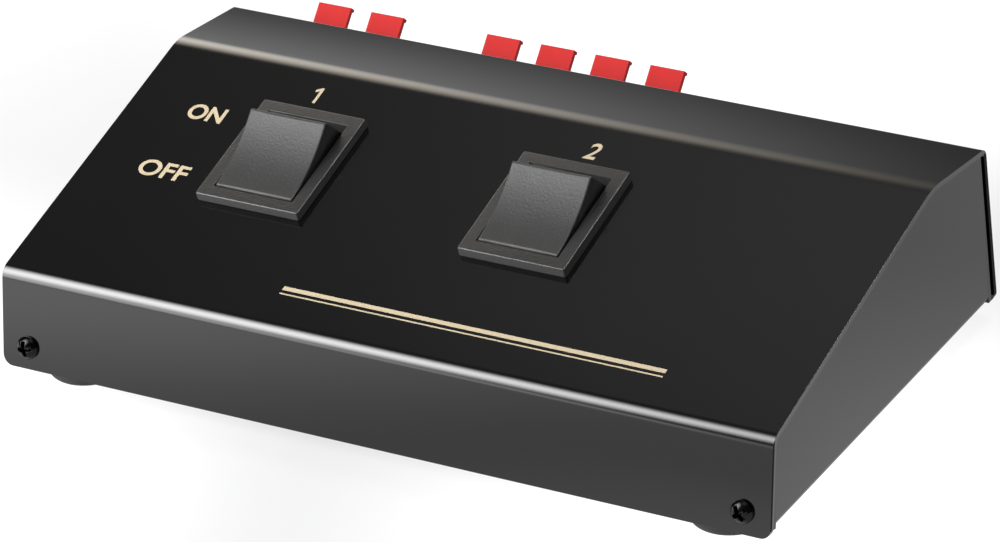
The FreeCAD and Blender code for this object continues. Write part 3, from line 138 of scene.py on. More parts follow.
def bend_path():
    """The cover's side view as rows of distance along the sheet, y and z.

    An arc about a centre inside each bend joins two flats: centre plus radius times normal."""
    spots, reach = [CORNERS[0]], [0.0]
    for bend, radius in BEND_RADII.items():
        before, after = FLAT_WAYS[bend - 1], FLAT_WAYS[bend]
        start = CORNERS[bend] - shortened(bend) * direction(before)
        centre = start - radius * outward(before)
        turn = np.linspace(before, after, BEND_STEPS)
        straight = np.linalg.norm(start - spots[-1])
        reach += list(reach[-1] + straight + radius * np.radians(before - turn))
        spots += list(centre + radius * np.array([outward(way) for way in turn]))
    reach.append(reach[-1] + np.linalg.norm(CORNERS[4] - spots[-1]))
    spots.append(CORNERS[4])
    return np.column_stack([reach, np.array(spots)])


def rounded_outline(centre, half, corner, arc=8):
    """Points round a rectangle: each of its four corners is a quarter circle of one radius."""
    turn = np.radians(np.arange(4)[:, None] * 90 + np.linspace(0, 90, arc + 1))
    side = np.array([[1, 1], [-1, 1], [-1, -1], [1, -1]])[:, None, :]
    middle = np.array(centre) + side * (np.array(half) - corner)
    return (middle + corner * np.stack([np.cos(turn), np.sin(turn)], axis=-1)).reshape(-1, 2)


def flat_blank(outlines):
    """A flat sheet with openings, filled between closed outlines."""
    curve = bpy.data.curves.new("blank", "CURVE")
    curve.dimensions, curve.fill_mode = "2D", "BOTH"
    for outline in outlines:
        spline = curve.splines.new("POLY")
        spline.points.add(len(outline) - 1)
        rows = np.column_stack([outline, np.zeros(len(outline)), np.ones(len(outline))])
        spline.points.foreach_set("co", rows.ravel())
        spline.use_cyclic_u = True
    holder = bpy.data.objects.new("blank", curve)
    flat = bmesh.new()
    flat.from_mesh(bpy.data.meshes.new_from_object(holder))
    bpy.data.objects.remove(holder)
    bpy.data.curves.remove(curve)
    return flat


def coordinates(mesh):
    """A mesh's points as rows, in the unit it was made in."""
    spots = np.empty(len(mesh.vertices) * 3, np.float32)
    mesh.vertices.foreach_get("co", spots)
    return spots.reshape(-1, 3).astype(float)


def move_points(mesh, spots):
    """Give a mesh new places for its points, from rows in millimetres."""
    mesh.vertices.foreach_set("co", (spots * MM).astype(np.float32).ravel())


def in_scene(name, content):
    """An object for a mesh, light or camera, put in the scene."""
    holder = bpy.data.objects.new(name, content)
    bpy.context.scene.collection.objects.link(holder)
    return holder


def piece_of(name, mesh):
    """An object for a mesh, in the scene and smooth all over."""
    mesh.shade_smooth()
    return in_scene(name, mesh)


def rounded(piece, width, angle=40.0, segments=3):
    """Round the edges sharper than an angle, and let the flat faces keep their own normals."""
    bevel = piece.modifiers.new("edges", "BEVEL")
    bevel.width, bevel.segments = width * MM, segments
    bevel.limit_method, bevel.angle_limit = "ANGLE", math.radians(angle)
    bevel.harden_normals = True


def stand_for(piece, nodes, finish):
    """A finished piece gets a finish, joins the body of the solids it stands for and takes
    their place.
    """
    piece.data.materials.clear()
    piece.data.materials.append(finish)
    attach(piece, frame["nodes"][nodes[0]]["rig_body"])
    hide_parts(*nodes)


def linear(shade):
    """An sRGB hex colour as linear red, green, blue and alpha."""
    parts = np.array([int(shade[i : i + 2], 16) for i in (1, 3, 5)]) / 255
    low, high = parts / 12.92, ((parts + 0.055) / 1.055) ** 2.4
    return (*np.where(parts <= 0.04045, low, high), 1.0)


def per(size):
    """The scale that gives a pattern a repeat of so many millimetres."""
    return 1 / (size * MM)


def add(tree, kind, settings={}, links={}):
    """One shader node. A setting is an input's value, by name or number, or a property of the
    node; a link joins an input to another node's output."""
    node = tree.nodes.new(f"ShaderNode{kind}")
    for key, content in settings.items():
        if isinstance(key, int) or key in node.inputs:
            node.inputs[key].default_value = content
        else:
            setattr(node, key, content)
    for key, (source, output) in links.items():
        tree.links.new(source.outputs[output], node.inputs[key])
    return node


def new_finish(name):
    """A material, its node tree and the node that says where on the object a point lies."""
    finish = bpy.data.materials.new(name)
    finish.use_nodes = True
    tree = finish.node_tree
    tree.nodes.clear()
    return finish, tree, add(tree, "TexCoord")


def noise(tree, place, size, detail, output="Object"):
    """Cloudy noise whose patches are about so many millimetres across."""
    settings = {"Scale": per(size), "Detail": detail}
    return add(tree, "TexNoise", settings, {"Vector": (place, output)})


def tones(tree, dark, light, pattern, output="Fac"):
    """A colour that follows a pattern from one shade to another."""
    ends = {"data_type": "RGBA", 6: linear(dark), 7: linear(light)}
    return add(tree, "Mix", ends, {0: (pattern, output)})


def between(tree, low, high, pattern, output="Fac"):
    """A pattern of zero to one, stretched to lie between two values."""
    return add(tree, "MapRange", {"To Min": low, "To Max": high}, {"Value": (pattern, output)})


def bump(tree, strength, depth, pattern, output="Fac"):
    """A pattern as relief, so many millimetres deep."""
    settings = {"Strength": strength, "Distance": depth * MM}
    return add(tree, "Bump", settings, {"Height": (pattern, output)})


def maths(tree, operation, *terms):
    """One step of arithmetic. A term is a number, or a node and its output."""
    fixed = {spot: term for spot, term in enumerate(terms) if not isinstance(term, tuple)}
    links = {spot: term for spot, term in enumerate(terms) if isinstance(term, tuple)}
    return add(tree, "Math", {"operation": operation, **fixed}, links)


def surface(tree, settings, links):
    """The skin that all of a material's nodes lead to."""
    skin = add(tree, "BsdfPrincipled", settings, links)
    add(tree, "OutputMaterial", links={"Surface": (skin, "BSDF")})


def mottled(name, size, detail, shades, gloss, settings):
    """A finish whose colour and roughness both follow one noise."""
    finish, tree, place = new_finish(name)
    mottle = noise(tree, place, size, detail)
    links = {
        "Base Color": (tones(tree, *shades, mottle), 2),
        "Roughness": (between(tree, *gloss, mottle), 0),
    }
    surface(tree, settings, links)
    return finish


# The last of these colours is painted shade, for the ends of the lip and the back.
PAINT_BLACK, PAINT_WORN, PAINT_GAP_SHADE = "#030303", "#060606", "#020202"
PAINT_GRAIN, PAINT_DRIFT = 0.45, 24
# How far the painted shade at the cover's ends reaches: across, into the lip and the back, and
# up the back.
END_SKIN, LIP_END_DEPTH, BACK_END_DEPTH, BACK_END_TOP = 0.07, 0.45, 1.1, 33.0


def paint_ground(tree, place):
    """The grain, the colour and the relief that both sheets' paint has."""
    grain = noise(tree, place, PAINT_GRAIN, 3.0)
    drift = noise(tree, place, PAINT_DRIFT, 2.0)
    return grain, tones(tree, PAINT_BLACK, PAINT_WORN, drift), bump(tree, 0.35, 0.012, grain)


def out_from(tree, way, source, output):
    """How far a vector reaches along a flat's outward normal."""
    normal = {"operation": "DOT_PRODUCT", 1: (0, *outward(way))}
    return add(tree, "VectorMath", normal, {0: (source, output)})


def skin_of_flat(tree, place, flat, depth):
    """One within a depth of a flat's outer face, zero deeper in."""
    reach = out_from(tree, FLAT_WAYS[flat], place, "Object")
    face = float(CORNERS[flat] @ outward(FLAT_WAYS[flat]))
    return maths(tree, "GREATER_THAN", (reach, "Value"), (face - depth) * MM)


# Stoving paint on steel: a smooth black skin whose fine grain, about half a millimetre, breaks
# up what it mirrors, and whose colour drifts a little over a few centimetres.
satin_paint, tree, place = new_finish("stoved_satin_black_paint")
grain, colour, relief = paint_ground(tree, place)
gloss = add(
    tree,
    "MapRange",
    {"From Min": 0.3, "From Max": 0.7, "To Min": 0.08, "To Max": 0.12},
    {"Value": (grain, "Fac")},
)

# The sheared ends of the lip and the back are painted as a thin, matt black layer: painted
# shade, standing for the dark gap between the cover and the side plates.
parts = add(tree, "SeparateXYZ", links={"Vector": (place, "Object")})
width = maths(tree, "ABSOLUTE", (parts, "X"))
at_end = maths(tree, "GREATER_THAN", (width, 0), (BOX_WIDTH / 2 - END_SKIN) * MM)
high = maths(tree, "GREATER_THAN", (parts, "Z"), BACK_END_TOP * MM)
back_skin = skin_of_flat(tree, place, BACK, BACK_END_DEPTH)
back_end = maths(tree, "SUBTRACT", (back_skin, 0), (high, 0))
lip_end = skin_of_flat(tree, place, LIP, LIP_END_DEPTH)
either = maths(tree, "MAXIMUM", (lip_end, 0), (back_end, 0))
painted_gap_shade = maths(tree, "MULTIPLY", (at_end, 0), (either, 0))
mirror = between(tree, 0.5, 0.02, painted_gap_shade, 0)
gap_shade_mix = {"data_type": "RGBA", 7: linear(PAINT_GAP_SHADE)}
shade = add(tree, "Mix", gap_shade_mix, {0: (painted_gap_shade, 0), 6: (colour, 2)})
surface(
    tree,
    {"IOR": 1.5},
    {
        "Base Color": (shade, 2),
        "Roughness": (gloss, 0),
        "Specular IOR Level": (mirror, 0),
        "Normal": (relief, "Normal"),
    },
)


def screw_hole(x, along):
    """The outline of a hole that clears a screw's shank."""
    radius = SCREW_SHANK + HOLE_GAP
    return rounded_outline((x, along), (radius, radius), radius)


def make_cover():
    """The sheet is cut flat, scored at every station of its bends, and bent.

    A point at distance s along the flat sheet goes to the side view's point at s; x stays."""
    path = bend_path()
    length = path[-1, 0]
    slope_start = path[BEND_STEPS, 0] - shortened(1)
    outlines = [
        rounded_outline((0, length / 2), (BOX_WIDTH / 2, length / 2), COVER_CORNER),
    ]
    for x in SWITCH_X.values():
        middle = (x, slope_start + SWITCH_ALONG)
        outlines.append(rounded_outline(middle, SWITCH_OPENING, PUNCH_CORNER, 1))
    for x, columns in BLOCKS.values():
        half = (columns - 1) * COLUMN_PITCH / 2 + CELL_HALF
        low, high = LOWER_ROW - CELL_HALF, LOWER_ROW + ROW_PITCH + BLOCK_ABOVE
        middle = (x, length - (low + high) / 2)
        opening = (half + BLOCK_GAP, (high - low) / 2)
        outlines.append(rounded_outline(middle, opening, PUNCH_CORNER, 1))
        for side in (-1, 1):
            ear = x + side * (half + EAR_SCREW_OUT)
            outlines.append(screw_hole(ear, length - LOWER_ROW - ROW_PITCH / 2))
    for side in (-1, 1):
        for along in (CASE_SCREW_RISE, length - CASE_SCREW_RISE):
            outlines.append(screw_hole(side * CASE_SCREW_X, along))
    flat = flat_blank(outlines)
    for station in path[1:-1, 0]:
        bmesh.ops.bisect_plane(
            flat,
            geom=flat.verts[:] + flat.edges[:] + flat.faces[:],
            plane_co=(0, station, 0),
            plane_no=(0, 1, 0),
            dist=SCORE_SLACK,
        )
    mesh = bpy.data.meshes.new("cover_sheet")
    flat.to_mesh(mesh)
    flat.free()
    spots = coordinates(mesh)
    along = spots[:, 1].copy()
    spots[:, 1] = np.interp(along, path[:, 0], path[:, 1])
    spots[:, 2] = np.interp(along, path[:, 0], path[:, 2])
    move_points(mesh, spots)
    mesh.update()
    piece = piece_of("cover_sheet", mesh)
    wall = piece.modifiers.new("sheet", "SOLIDIFY")
    wall.thickness, wall.offset, wall.use_even_offset = SHEET * MM, -1.0, True
    rounded(piece, COVER_BURR, angle=50, segments=2)
    return piece


cover = make_cover()
stand_for(cover, ["cover"], satin_paint)

# ---------------------------------------------------------------------------------------------
# Base. The second bent sheet: a floor, two side plates that fill the cover's ends, and four
# drilled tabs behind the cover's screws. It has the cover's paint.

BASE_BURR = 0.12
SOLID_WELD, SOLID_FLAT_ANGLE = 0.002, 0.6


def dressed(node, edge, name, angle=45.0, segments=2):
    """A solid's copy: corners welded, flats in one piece and edges rounded."""
    body = bmesh.new()
    body.from_mesh(frame["nodes"][node].data)
    bmesh.ops.remove_doubles(body, verts=body.verts, dist=SOLID_WELD * MM)
    flat = math.radians(SOLID_FLAT_ANGLE)
    bmesh.ops.dissolve_limit(body, angle_limit=flat, verts=body.verts, edges=body.edges)
    mesh = bpy.data.meshes.new(name)
    body.to_mesh(mesh)
    body.free()
    if "custom_normal" in mesh.attributes:
        mesh.attributes.remove(mesh.attributes["custom_normal"])
    piece = piece_of(name, mesh)
    rounded(piece, edge, angle, segments)
    return piece


# The same stoving paint, sprayed thinner and drier on the tray: its grain is the same, and it
# mirrors a little over half as much.
dry_paint, tree, place = new_finish("stoved_dry_black_paint")
grain, colour, relief = paint_ground(tree, place)
surface(
    tree,
    {"IOR": 1.5, "Roughness": 0.22, "Specular IOR Level": 0.29},
    {"Base Color": (colour, 2), "Normal": (relief, "Normal")},
)

base = dressed("base", BASE_BURR, "base_tray")
stand_for(base, ["base"], dry_paint)

# ---------------------------------------------------------------------------------------------
# Case screws. Pan head machine screws with a cross recess, black oxide on steel, two through
# the lip and two through the back into the base's tabs.

CASE_SCREW = dict(radius=SCREW_SHANK, head=2.1, cap=1.67, length=3.9)
SCREW_TURNS = {"front": (12, 38), "rear": (70, 25)}
SCREW_RIM, RIM_ROUND, RIM_DROP = 0.5, 0.12, 0.08
HEAD_CHAMFER, SHANK_CHAMFER = 0.1, 0.4
DRIVE_ARM, DRIVE_HALF, DRIVE_DEPTH, DRIVE_FLANK = 1.45, 0.46, 1.0, 0.36
DRIVE_STATIONS, OUTER_STATIONS = np.linspace(0, 1.5, 26), (1.62, 6)
GRID_WELD = 0.001


def quads(spot):
    """Quads between neighbouring points of a grid of point numbers."""
    corners = [spot[:-1, :-1], spot[:-1, 1:], spot[1:, 1:], spot[1:, :-1]]
    return np.stack(corners, -1).reshape(-1, 4)


def mesh_of(name, grids):
    """A mesh of closed grids, each an array of rings of points: poles merged, faces outward."""
    points, faces, start = [], [], 0
    for grid in grids:
        rows, columns = grid.shape[:2]
        spot = np.arange(rows * columns).reshape(rows, columns) + start
        points.append(grid.reshape(-1, 3) * MM)
        faces.append(quads(np.hstack([spot, spot[:, :1]])))
        start += rows * columns
    mesh = bpy.data.meshes.new(name)
    mesh.from_pydata(np.vstack(points).tolist(), [], np.vstack(faces).tolist())
    body = bmesh.new()
    body.from_mesh(mesh)
    bmesh.ops.remove_doubles(body, verts=body.verts, dist=GRID_WELD * MM)
    bmesh.ops.recalc_face_normals(body, faces=body.faces)
    body.to_mesh(mesh)
    body.free()
    return mesh


def spun(profile, count=48):
    """A profile of (radius, height) rows carried round the local out axis."""
    profile = np.asarray(profile, float)
    turn = np.linspace(0, 2 * math.pi, count, endpoint=False)
    radius, height = profile[:, :1], profile[:, 1:]
    ring = [radius * np.cos(turn), radius * np.sin(turn), height + 0 * turn]
    return np.stack(ring, axis=-1)


def pan_screw(radius, head, cap, length):
    """A screw on a polar grid: height is a function of the profile's station and the angle.

    The profile runs from the crown down the dome, round the rim, under the head and down the
    shank. Inside the cross, the dome sinks with the distance from the cross's edge."""
    dome = cap - SCREW_RIM
    ball = (head**2 + dome**2) / (2 * dome)
    start, count = OUTER_STATIONS
    outer = np.linspace(start, head - RIM_ROUND, count)
    across = np.concatenate([DRIVE_STATIONS, outer])
    top = cap - ball + np.sqrt(ball**2 - across**2)
    edge = np.radians(np.array([60, 30, 0]))
    rim_out = head - RIM_ROUND + RIM_ROUND * np.cos(edge)
    rim_up = SCREW_RIM - RIM_DROP + RIM_ROUND * np.sin(edge)
    rim = np.column_stack([rim_out, rim_up])
    under = [
        (head, HEAD_CHAMFER),
        (head - HEAD_CHAMFER, 0),
        (radius, 0),
        (radius, SHANK_CHAMFER - length),
        (radius - SHANK_CHAMFER, -length),
        (0, -length),
    ]
    points = spun(np.vstack([np.column_stack([across, top]), rim, under]), 96)
    crown = points[: len(across)]
    x, y = np.abs(crown[..., 0]), np.abs(crown[..., 1])
    bar_x = np.minimum(DRIVE_ARM - x, DRIVE_HALF - y)
    bar_y = np.minimum(DRIVE_ARM - y, DRIVE_HALF - x)
    depth = np.clip(np.maximum(bar_x, bar_y) / DRIVE_FLANK, 0, 1)
    crown[..., 2] -= DRIVE_DEPTH * depth * depth * (3 - 2 * depth)
    return points


# Black oxide on steel: a dark skin of about a micron on turned metal, so it mirrors like metal
# and is nearly black; handling leaves it a little uneven.
black_oxide = mottled(
    "black_oxide_steel", 1.2, 3.0, ("#1B1B1C", "#262626"), (0.05, 0.12), {"Metallic": 1.0}
)

for side, flat, along in (
    ("front", LIP, CASE_SCREW_RISE),
    ("rear", BACK, BACK_LENGTH - CASE_SCREW_RISE),
):
    grids = []
    for x, turn in zip((-CASE_SCREW_X, CASE_SCREW_X), SCREW_TURNS[side]):
        spin = np.array(Matrix.Rotation(math.radians(turn), 3, "Z"))
        turned = pan_screw(**CASE_SCREW) @ spin.T
        grids.append(put(turned, seat(flat, x, along), FLAT_WAYS[flat]))
    screws = piece_of(f"{side}_case_screws", mesh_of(f"{side}_case_screws", grids))
    stand_for(screws, [f"{side}_cover_screws"], black_oxide)

# ---------------------------------------------------------------------------------------------
# Feet. Round moulded rubber feet, each held by a zinc plated screw in its recess and a nut
# inside the base.

FOOT_RADIUS, FOOT_HEIGHT, FOOT_EDGE = 7.5, 3.9, 1.0
FOOT_RECESS, FOOT_RECESS_DEPTH, FOOT_BORE = 3.3, 2.0, 1.65
FOOT_LIP, FOOT_CHAMFER, FOOT_CREASE_ANGLE = 0.25, 0.15, 40
FOOT_SCREW = dict(radius=1.5, head=2.8, cap=1.6, length=5.5)
FEET = ("foot_front_left", "foot_front_right", "foot_rear_left", "foot_rear_right")

# Moulded rubber: carbon black filled, dull, with the fine bloom and pores of the mould.
rubber, tree, place = new_finish("moulded_black_rubber")
pores = noise(tree, place, 0.5, 4.0)
bloom = noise(tree, place, 6, 2.0)
colour = tones(tree, "#141414", "#242322", bloom)
relief = bump(tree, 0.5, 0.02, pores)
surface(
    tree,
    {"IOR": 1.52, "Roughness": 0.68},
    {"Base Color": (colour, 2), "Normal": (relief, "Normal")},
)

# Zinc plating: a thin bright coat with a faint bluish passivation and a soft, patchy gloss.
zinc, tree, place = new_finish("zinc_plated_steel")
patches = add(tree, "TexVoronoi", {"Scale": per(0.8)}, {"Vector": (place, "Object")})
gloss = between(tree, 0.22, 0.38, patches, "Distance")
colour = tones(tree, "#B4B8BE", "#C9CACB", patches, "Distance")
surface(tree, {"Metallic": 1.0}, {"Base Color": (colour, 2), "Roughness": (gloss, 0)})


def foot_profile():
    """From the recess's roof down its wall, across the sole, up the side and over the top."""
    edge = np.radians(np.linspace(-90, 0, 9))
    reach = FOOT_RADIUS - FOOT_EDGE + FOOT_EDGE * np.cos(edge)
    sole = np.column_stack([reach, FOOT_EDGE + FOOT_EDGE * np.sin(edge)])
    lip = [
        (FOOT_RECESS, FOOT_LIP),
        (FOOT_RECESS + 0.32 * FOOT_LIP, 0.28 * FOOT_LIP),
        (FOOT_RECESS + FOOT_LIP, 0),
    ]
    head = [
        (FOOT_RADIUS, FOOT_HEIGHT - FOOT_CHAMFER),
        (FOOT_RADIUS - FOOT_CHAMFER, FOOT_HEIGHT),
        (FOOT_BORE, FOOT_HEIGHT),
        (FOOT_BORE, FOOT_RECESS_DEPTH),
        (FOOT_RECESS, FOOT_RECESS_DEPTH),
    ]
    return np.vstack([[(FOOT_RECESS, FOOT_RECESS_DEPTH)], lip, sole, head])


foot_screw_grids = []
for node in FEET:
    low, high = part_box(node)
    middle = np.array([(low.x + high.x) / 2, (low.y + high.y) / 2, 0]) / MM
    mesh = mesh_of(f"{node}_rubber", [spun(foot_profile(), 64) + middle])
    foot = piece_of(f"{node}_rubber", mesh)
    mesh.set_sharp_from_angle(angle=math.radians(FOOT_CREASE_ANGLE))
    stand_for(foot, [node], rubber)
    roof = middle + [0, 0, FOOT_RECESS_DEPTH]
    foot_screw_grids.append(put(pan_screw(**FOOT_SCREW), roof, 180))
foot_screws = piece_of("foot_fixing_screws", mesh_of("foot_fixing_screws", foot_screw_grids))
stand_for(foot_screws, ["foot_screws"], zinc)


def coat(nodes, finish):
    """Give solids that keep their shape their finish."""
    for name in nodes:
        for slot in frame["nodes"][name].material_slots:
            slot.material = finish


coat(["foot_nuts", "terminal_block_nuts"], zinc)

# ---------------------------------------------------------------------------------------------
# Switch housings. Bezel and body moulded in one from black glass filled nylon; two clips snap
# them under the cover's sheet.

HOUSING_EDGE = 0.15

# Moulded nylon: near black, with a spark eroded grain of about 0.35 mm that the mould gave.
grained_nylon, tree, place = new_finish("spark_grained_black_nylon")
grain = add(
    tree,
    "TexVoronoi",
    {"feature": "SMOOTH_F1", "Scale": per(0.35), "Smoothness": 1.0},
    {"Vector": (place, "Object")},
)
cloud = noise(tree, place, 5, 2.0)
colour = tones(tree, "#181818", "#1D1D1D", cloud)
relief = bump(tree, 1.0, 0.05, grain, "Distance")

# The sides are painted a lighter grey than the flats, by which way each face looks: painted
# light. The sides are also duller; flats and edges keep a sheen.
tilt = add(tree, "NewGeometry")
upward = out_from(tree, SLOPE_WAY, tilt, "Normal")
edges = {"From Min": 0.1, "From Max": 0.3}
flatness = add(tree, "MapRange", edges, {"Value": (upward, "Value")})
gloss = between(tree, 0.8, 0.36, flatness, 0)
side_painted_light = {"data_type": "RGBA", 6: linear("#343434")}
shade = add(tree, "Mix", side_painted_light, {0: (flatness, 0), 7: (colour, 2)})
surface(
    tree,
    {"IOR": 1.53, "Specular IOR Level": 0.38},
    {"Base Color": (shade, 2), "Roughness": (gloss, 0), "Normal": (relief, "Normal")},
)

for number in (1, 2):
    node = f"switch_{number}_housing"
    housing = dressed(node, HOUSING_EDGE, f"switch_{number}_bezel")
    stand_for(housing, [node], grained_nylon)

# ---------------------------------------------------------------------------------------------
# Rockers. Hollow keys moulded in black nylon with a dished top, leaning ends, two pivot pins
# and two stems for the plungers. Each rests tilted back, in its off place.

PIVOT_DEPTH, ROCKER_SWING = 2.9, 17.8
ROCKER_HALF_WIDTH, ROCKER_TOP_HALF, ROCKER_RISE = 7.85, 7.93, 7.6
ROCKER_LEAN, ROCKER_WALL, ROCKER_ROOF, ROCKER_DISH = 14.0, 1.4, 4.6, 29.0
ROCKER_EDGE, ROCKER_SIDE_EDGE = 0.72, 0.3
ROCKER_TOP_STEPS, ROCKER_SIDE_STEPS = 13, 17
STEM_X, STEM_OUTER, STEM_BORE, STEM_REACH, STEM_SINK = 4.0, 2.4, 1.55, 3.2, 0.3
PIN_RADIUS, PIN_START, PIN_END, PIN_CHAMFER = 1.2, 6.6, 9.3, 0.2
ON_EDGE = 0.01

# Moulded nylon with a fine grain of about 0.4 mm, which fingers have polished unevenly over
# patches of a few millimetres.
key_nylon, tree, place = new_finish("fine_grained_black_nylon")
grain = noise(tree, place, 0.4, 2.0)
rub = noise(tree, place, 4, 3.0)
gloss = between(tree, 0.42, 0.52, rub)
colour = tones(tree, "#1A1A1A", "#1F1F1F", rub)
relief = bump(tree, 1.0, 0.05, grain)
surface(
    tree,
    {"IOR": 1.53, "Specular IOR Level": 0.32},
    {"Base Color": (colour, 2), "Roughness": (gloss, 0), "Normal": (relief, "Normal")},
)


def rocker_shell():
    """Rectangular rings, from the middle of the hollow's roof down its walls, round the foot,
    up the leaning ends and over the top. On the top, height is a circular arc of the distance
    along the key: rise less the arc's sag."""
    lean = math.tan(math.radians(ROCKER_LEAN))
    wall = ROCKER_WALL / math.cos(math.radians(ROCKER_LEAN))
    foot = ROCKER_TOP_HALF + ROCKER_RISE * lean
    inner = ROCKER_HALF_WIDTH - ROCKER_WALL
    shrink = np.linspace(1, 0, ROCKER_TOP_STEPS)[1:]
    below = [0, inner, inner, ROCKER_HALF_WIDTH, ROCKER_HALF_WIDTH]
    across = np.concatenate([below, ROCKER_HALF_WIDTH * shrink])
    below = [0, foot - ROCKER_ROOF * lean - wall, foot - wall, foot, ROCKER_TOP_HALF]
    along = np.concatenate([below, ROCKER_TOP_HALF * shrink])
    side = np.linspace(-1, 1, ROCKER_SIDE_STEPS)[:-1]
    one = np.ones_like(side)
    sides = [(side, -one), (one, side), (-side, one), (-one, -side)]
    ring = np.concatenate([np.column_stack(pair) for pair in sides])
    x, y = across[:, None] * ring[:, 0], along[:, None] * ring[:, 1]
    height = np.array([ROCKER_ROOF, ROCKER_ROOF, 0, 0])[:, None] + 0 * x[:4]
    lowest = math.sqrt(ROCKER_DISH**2 - ROCKER_TOP_HALF**2)
    sag = np.sqrt(ROCKER_DISH**2 - y[4:] ** 2) - lowest
    return np.stack([x, y, np.vstack([height, ROCKER_RISE - sag])], axis=-1)


def rocker_stems():
    """Two open tubes below the roof, each a closed profile spun about its own axis."""
    tube = [
        (STEM_BORE, ROCKER_ROOF),
        (STEM_BORE, -STEM_REACH),
        (STEM_OUTER, -STEM_REACH),
        (STEM_OUTER, ROCKER_ROOF + STEM_SINK),
        (STEM_BORE, ROCKER_ROOF + STEM_SINK),
        (STEM_BORE, ROCKER_ROOF),
    ]
    return [spun(tube, 32) + [side * STEM_X, 0, 0] for side in (-1, 1)]


def rocker_pins():
    """Two round pins that leave the key's sides, spun and then laid along X."""
    profile = [
        (0, PIN_START),
        (PIN_RADIUS, PIN_START),
        (PIN_RADIUS, PIN_END - PIN_CHAMFER),
        (PIN_RADIUS - PIN_CHAMFER, PIN_END),
        (0, PIN_END),
    ]
    pin = spun(profile, 32)
    laid = np.stack([pin[..., 2], pin[..., 0], pin[..., 1]], axis=-1)
    return [laid, laid * [-1, 1, 1]]


def weigh_rocker_edges(mesh):
    """The share of the rounding that each edge takes: all of it across the top's two ends, less
    along the top's sides and down the four corners, none elsewhere."""
    ends = np.empty(len(mesh.edges) * 2, np.int32)
    mesh.edges.foreach_get("vertices", ends)
    spots = np.abs(coordinates(mesh) / MM)
    x, y, z = np.moveaxis(spots[ends.reshape(-1, 2)], -1, 0)
    side = (x > ROCKER_HALF_WIDTH - ON_EDGE).all(axis=1)
    top = (z > ROCKER_ROOF + 1).all(axis=1)
    corner = (y > ROCKER_TOP_HALF - ON_EDGE).all(axis=1)
    share = ROCKER_SIDE_EDGE / ROCKER_EDGE
    weight = np.where(side & (top | corner), share, 0)
    weight = np.where(side & ~top & (z < ON_EDGE).all(axis=1), 0, weight)
    weight = np.where(top & corner & (z > ROCKER_RISE - ON_EDGE).all(axis=1), 1, weight)
    rounding = mesh.attributes.new("bevel_weight_edge", "FLOAT", "EDGE")
    rounding.data.foreach_set("value", weight.astype(np.float32))


for number in (1, 2):
    mesh = mesh_of(f"rocker_{number}_key", [rocker_shell(), *rocker_stems(), *rocker_pins()])
    weigh_rocker_edges(mesh)
    pivot = seat(SLOPE, SWITCH_X[number], SWITCH_ALONG, -PIVOT_DEPTH)
    move_points(mesh, put(coordinates(mesh) / MM, pivot, SLOPE_WAY + ROCKER_SWING))
    key = piece_of(f"rocker_{number}_key", mesh)
    rounded(key, ROCKER_EDGE, segments=4)
    key.modifiers["edges"].limit_method = "WEIGHT"
    stand_for(key, [f"rocker_{number}"], key_nylon)

# ---------------------------------------------------------------------------------------------
# Inside the switches. Nylon plungers pushed by steel springs tip brass contact levers, which
# see-saw on the middle blades and close on the front ones.

# Natural nylon: milky, a little yellow, lets some light in.
natural_nylon, tree, place = new_finish("natural_nylon")
milk = noise(tree, place, 1.5, 2.0)
colour = tones(tree, "#E6DFCB", "#F0EBDD", milk)
surface(
    tree,
    {"IOR": 1.53, "Roughness": 0.4, "Subsurface Weight": 0.15, "Subsurface Scale": 0.6 * MM},
    {"Base Color": (colour, 2)},
)

# Spring steel: drawn or rolled, so it is bright and lined along its length about every 0.15 mm.
spring_steel, tree, place = new_finish("drawn_spring_steel")
lines = add(tree, "Mapping", {"Scale": (1.0, 0.05, 0.05)}, {"Vector": (place, "Object")})
draw = noise(tree, lines, 0.15, 2.0, "Vector")
gloss = between(tree, 0.18, 0.34, draw)
surface(tree, {"Base Color": linear("#A3A6AA"), "Metallic": 1.0}, {"Roughness": (gloss, 0)})

# Rolled brass: warm yellow, with rolling lines about 0.2 mm apart and a light tarnish.
brass, tree, place = new_finish("rolled_brass")
lines = add(tree, "Mapping", {"Scale": (1.0, 0.06, 0.06)}, {"Vector": (place, "Object")})
rolled = noise(tree, lines, 0.2, 2.0, "Vector")
tarnish = noise(tree, place, 3, 4.0)
gloss = between(tree, 0.2, 0.36, rolled)
colour = tones(tree, "#D9BD6B", "#B9924A", tarnish)
surface(tree, {"Metallic": 1.0}, {"Base Color": (colour, 2), "Roughness": (gloss, 0)})

for number in (1, 2):
    coat([f"switch_{number}_plungers"], natural_nylon)
    coat([f"switch_{number}_springs"], spring_steel)
    coat([f"switch_{number}_contact_levers", f"switch_{number}_terminals"], brass)

# ---------------------------------------------------------------------------------------------
# Terminal blocks. Two mouldings in black ABS, each with a flange and two ears on the back and
# two rows of cells; a screw and a nut hold each ear.

BLOCK_EDGE = 0.2
EAR_SCREW = dict(radius=SCREW_SHANK, head=2.2, cap=1.3, length=5.6)
FLANGE = 1.6

# Moulded ABS: smooth and fairly glossy, with the faint waviness of a thick wall's sink.
black_abs, tree, place = new_finish("moulded_black_abs")
sink = noise(tree, place, 4, 1.0)
dust = noise(tree, place, 0.6, 4.0)
gloss = between(tree, 0.26, 0.38, dust)
colour = tones(tree, "#131313", "#1A1A1A", sink)
relief = bump(tree, 0.2, 0.05, sink)
surface(
    tree,
    {"IOR": 1.54},
    {"Base Color": (colour, 2), "Roughness": (gloss, 0), "Normal": (relief, "Normal")},
)

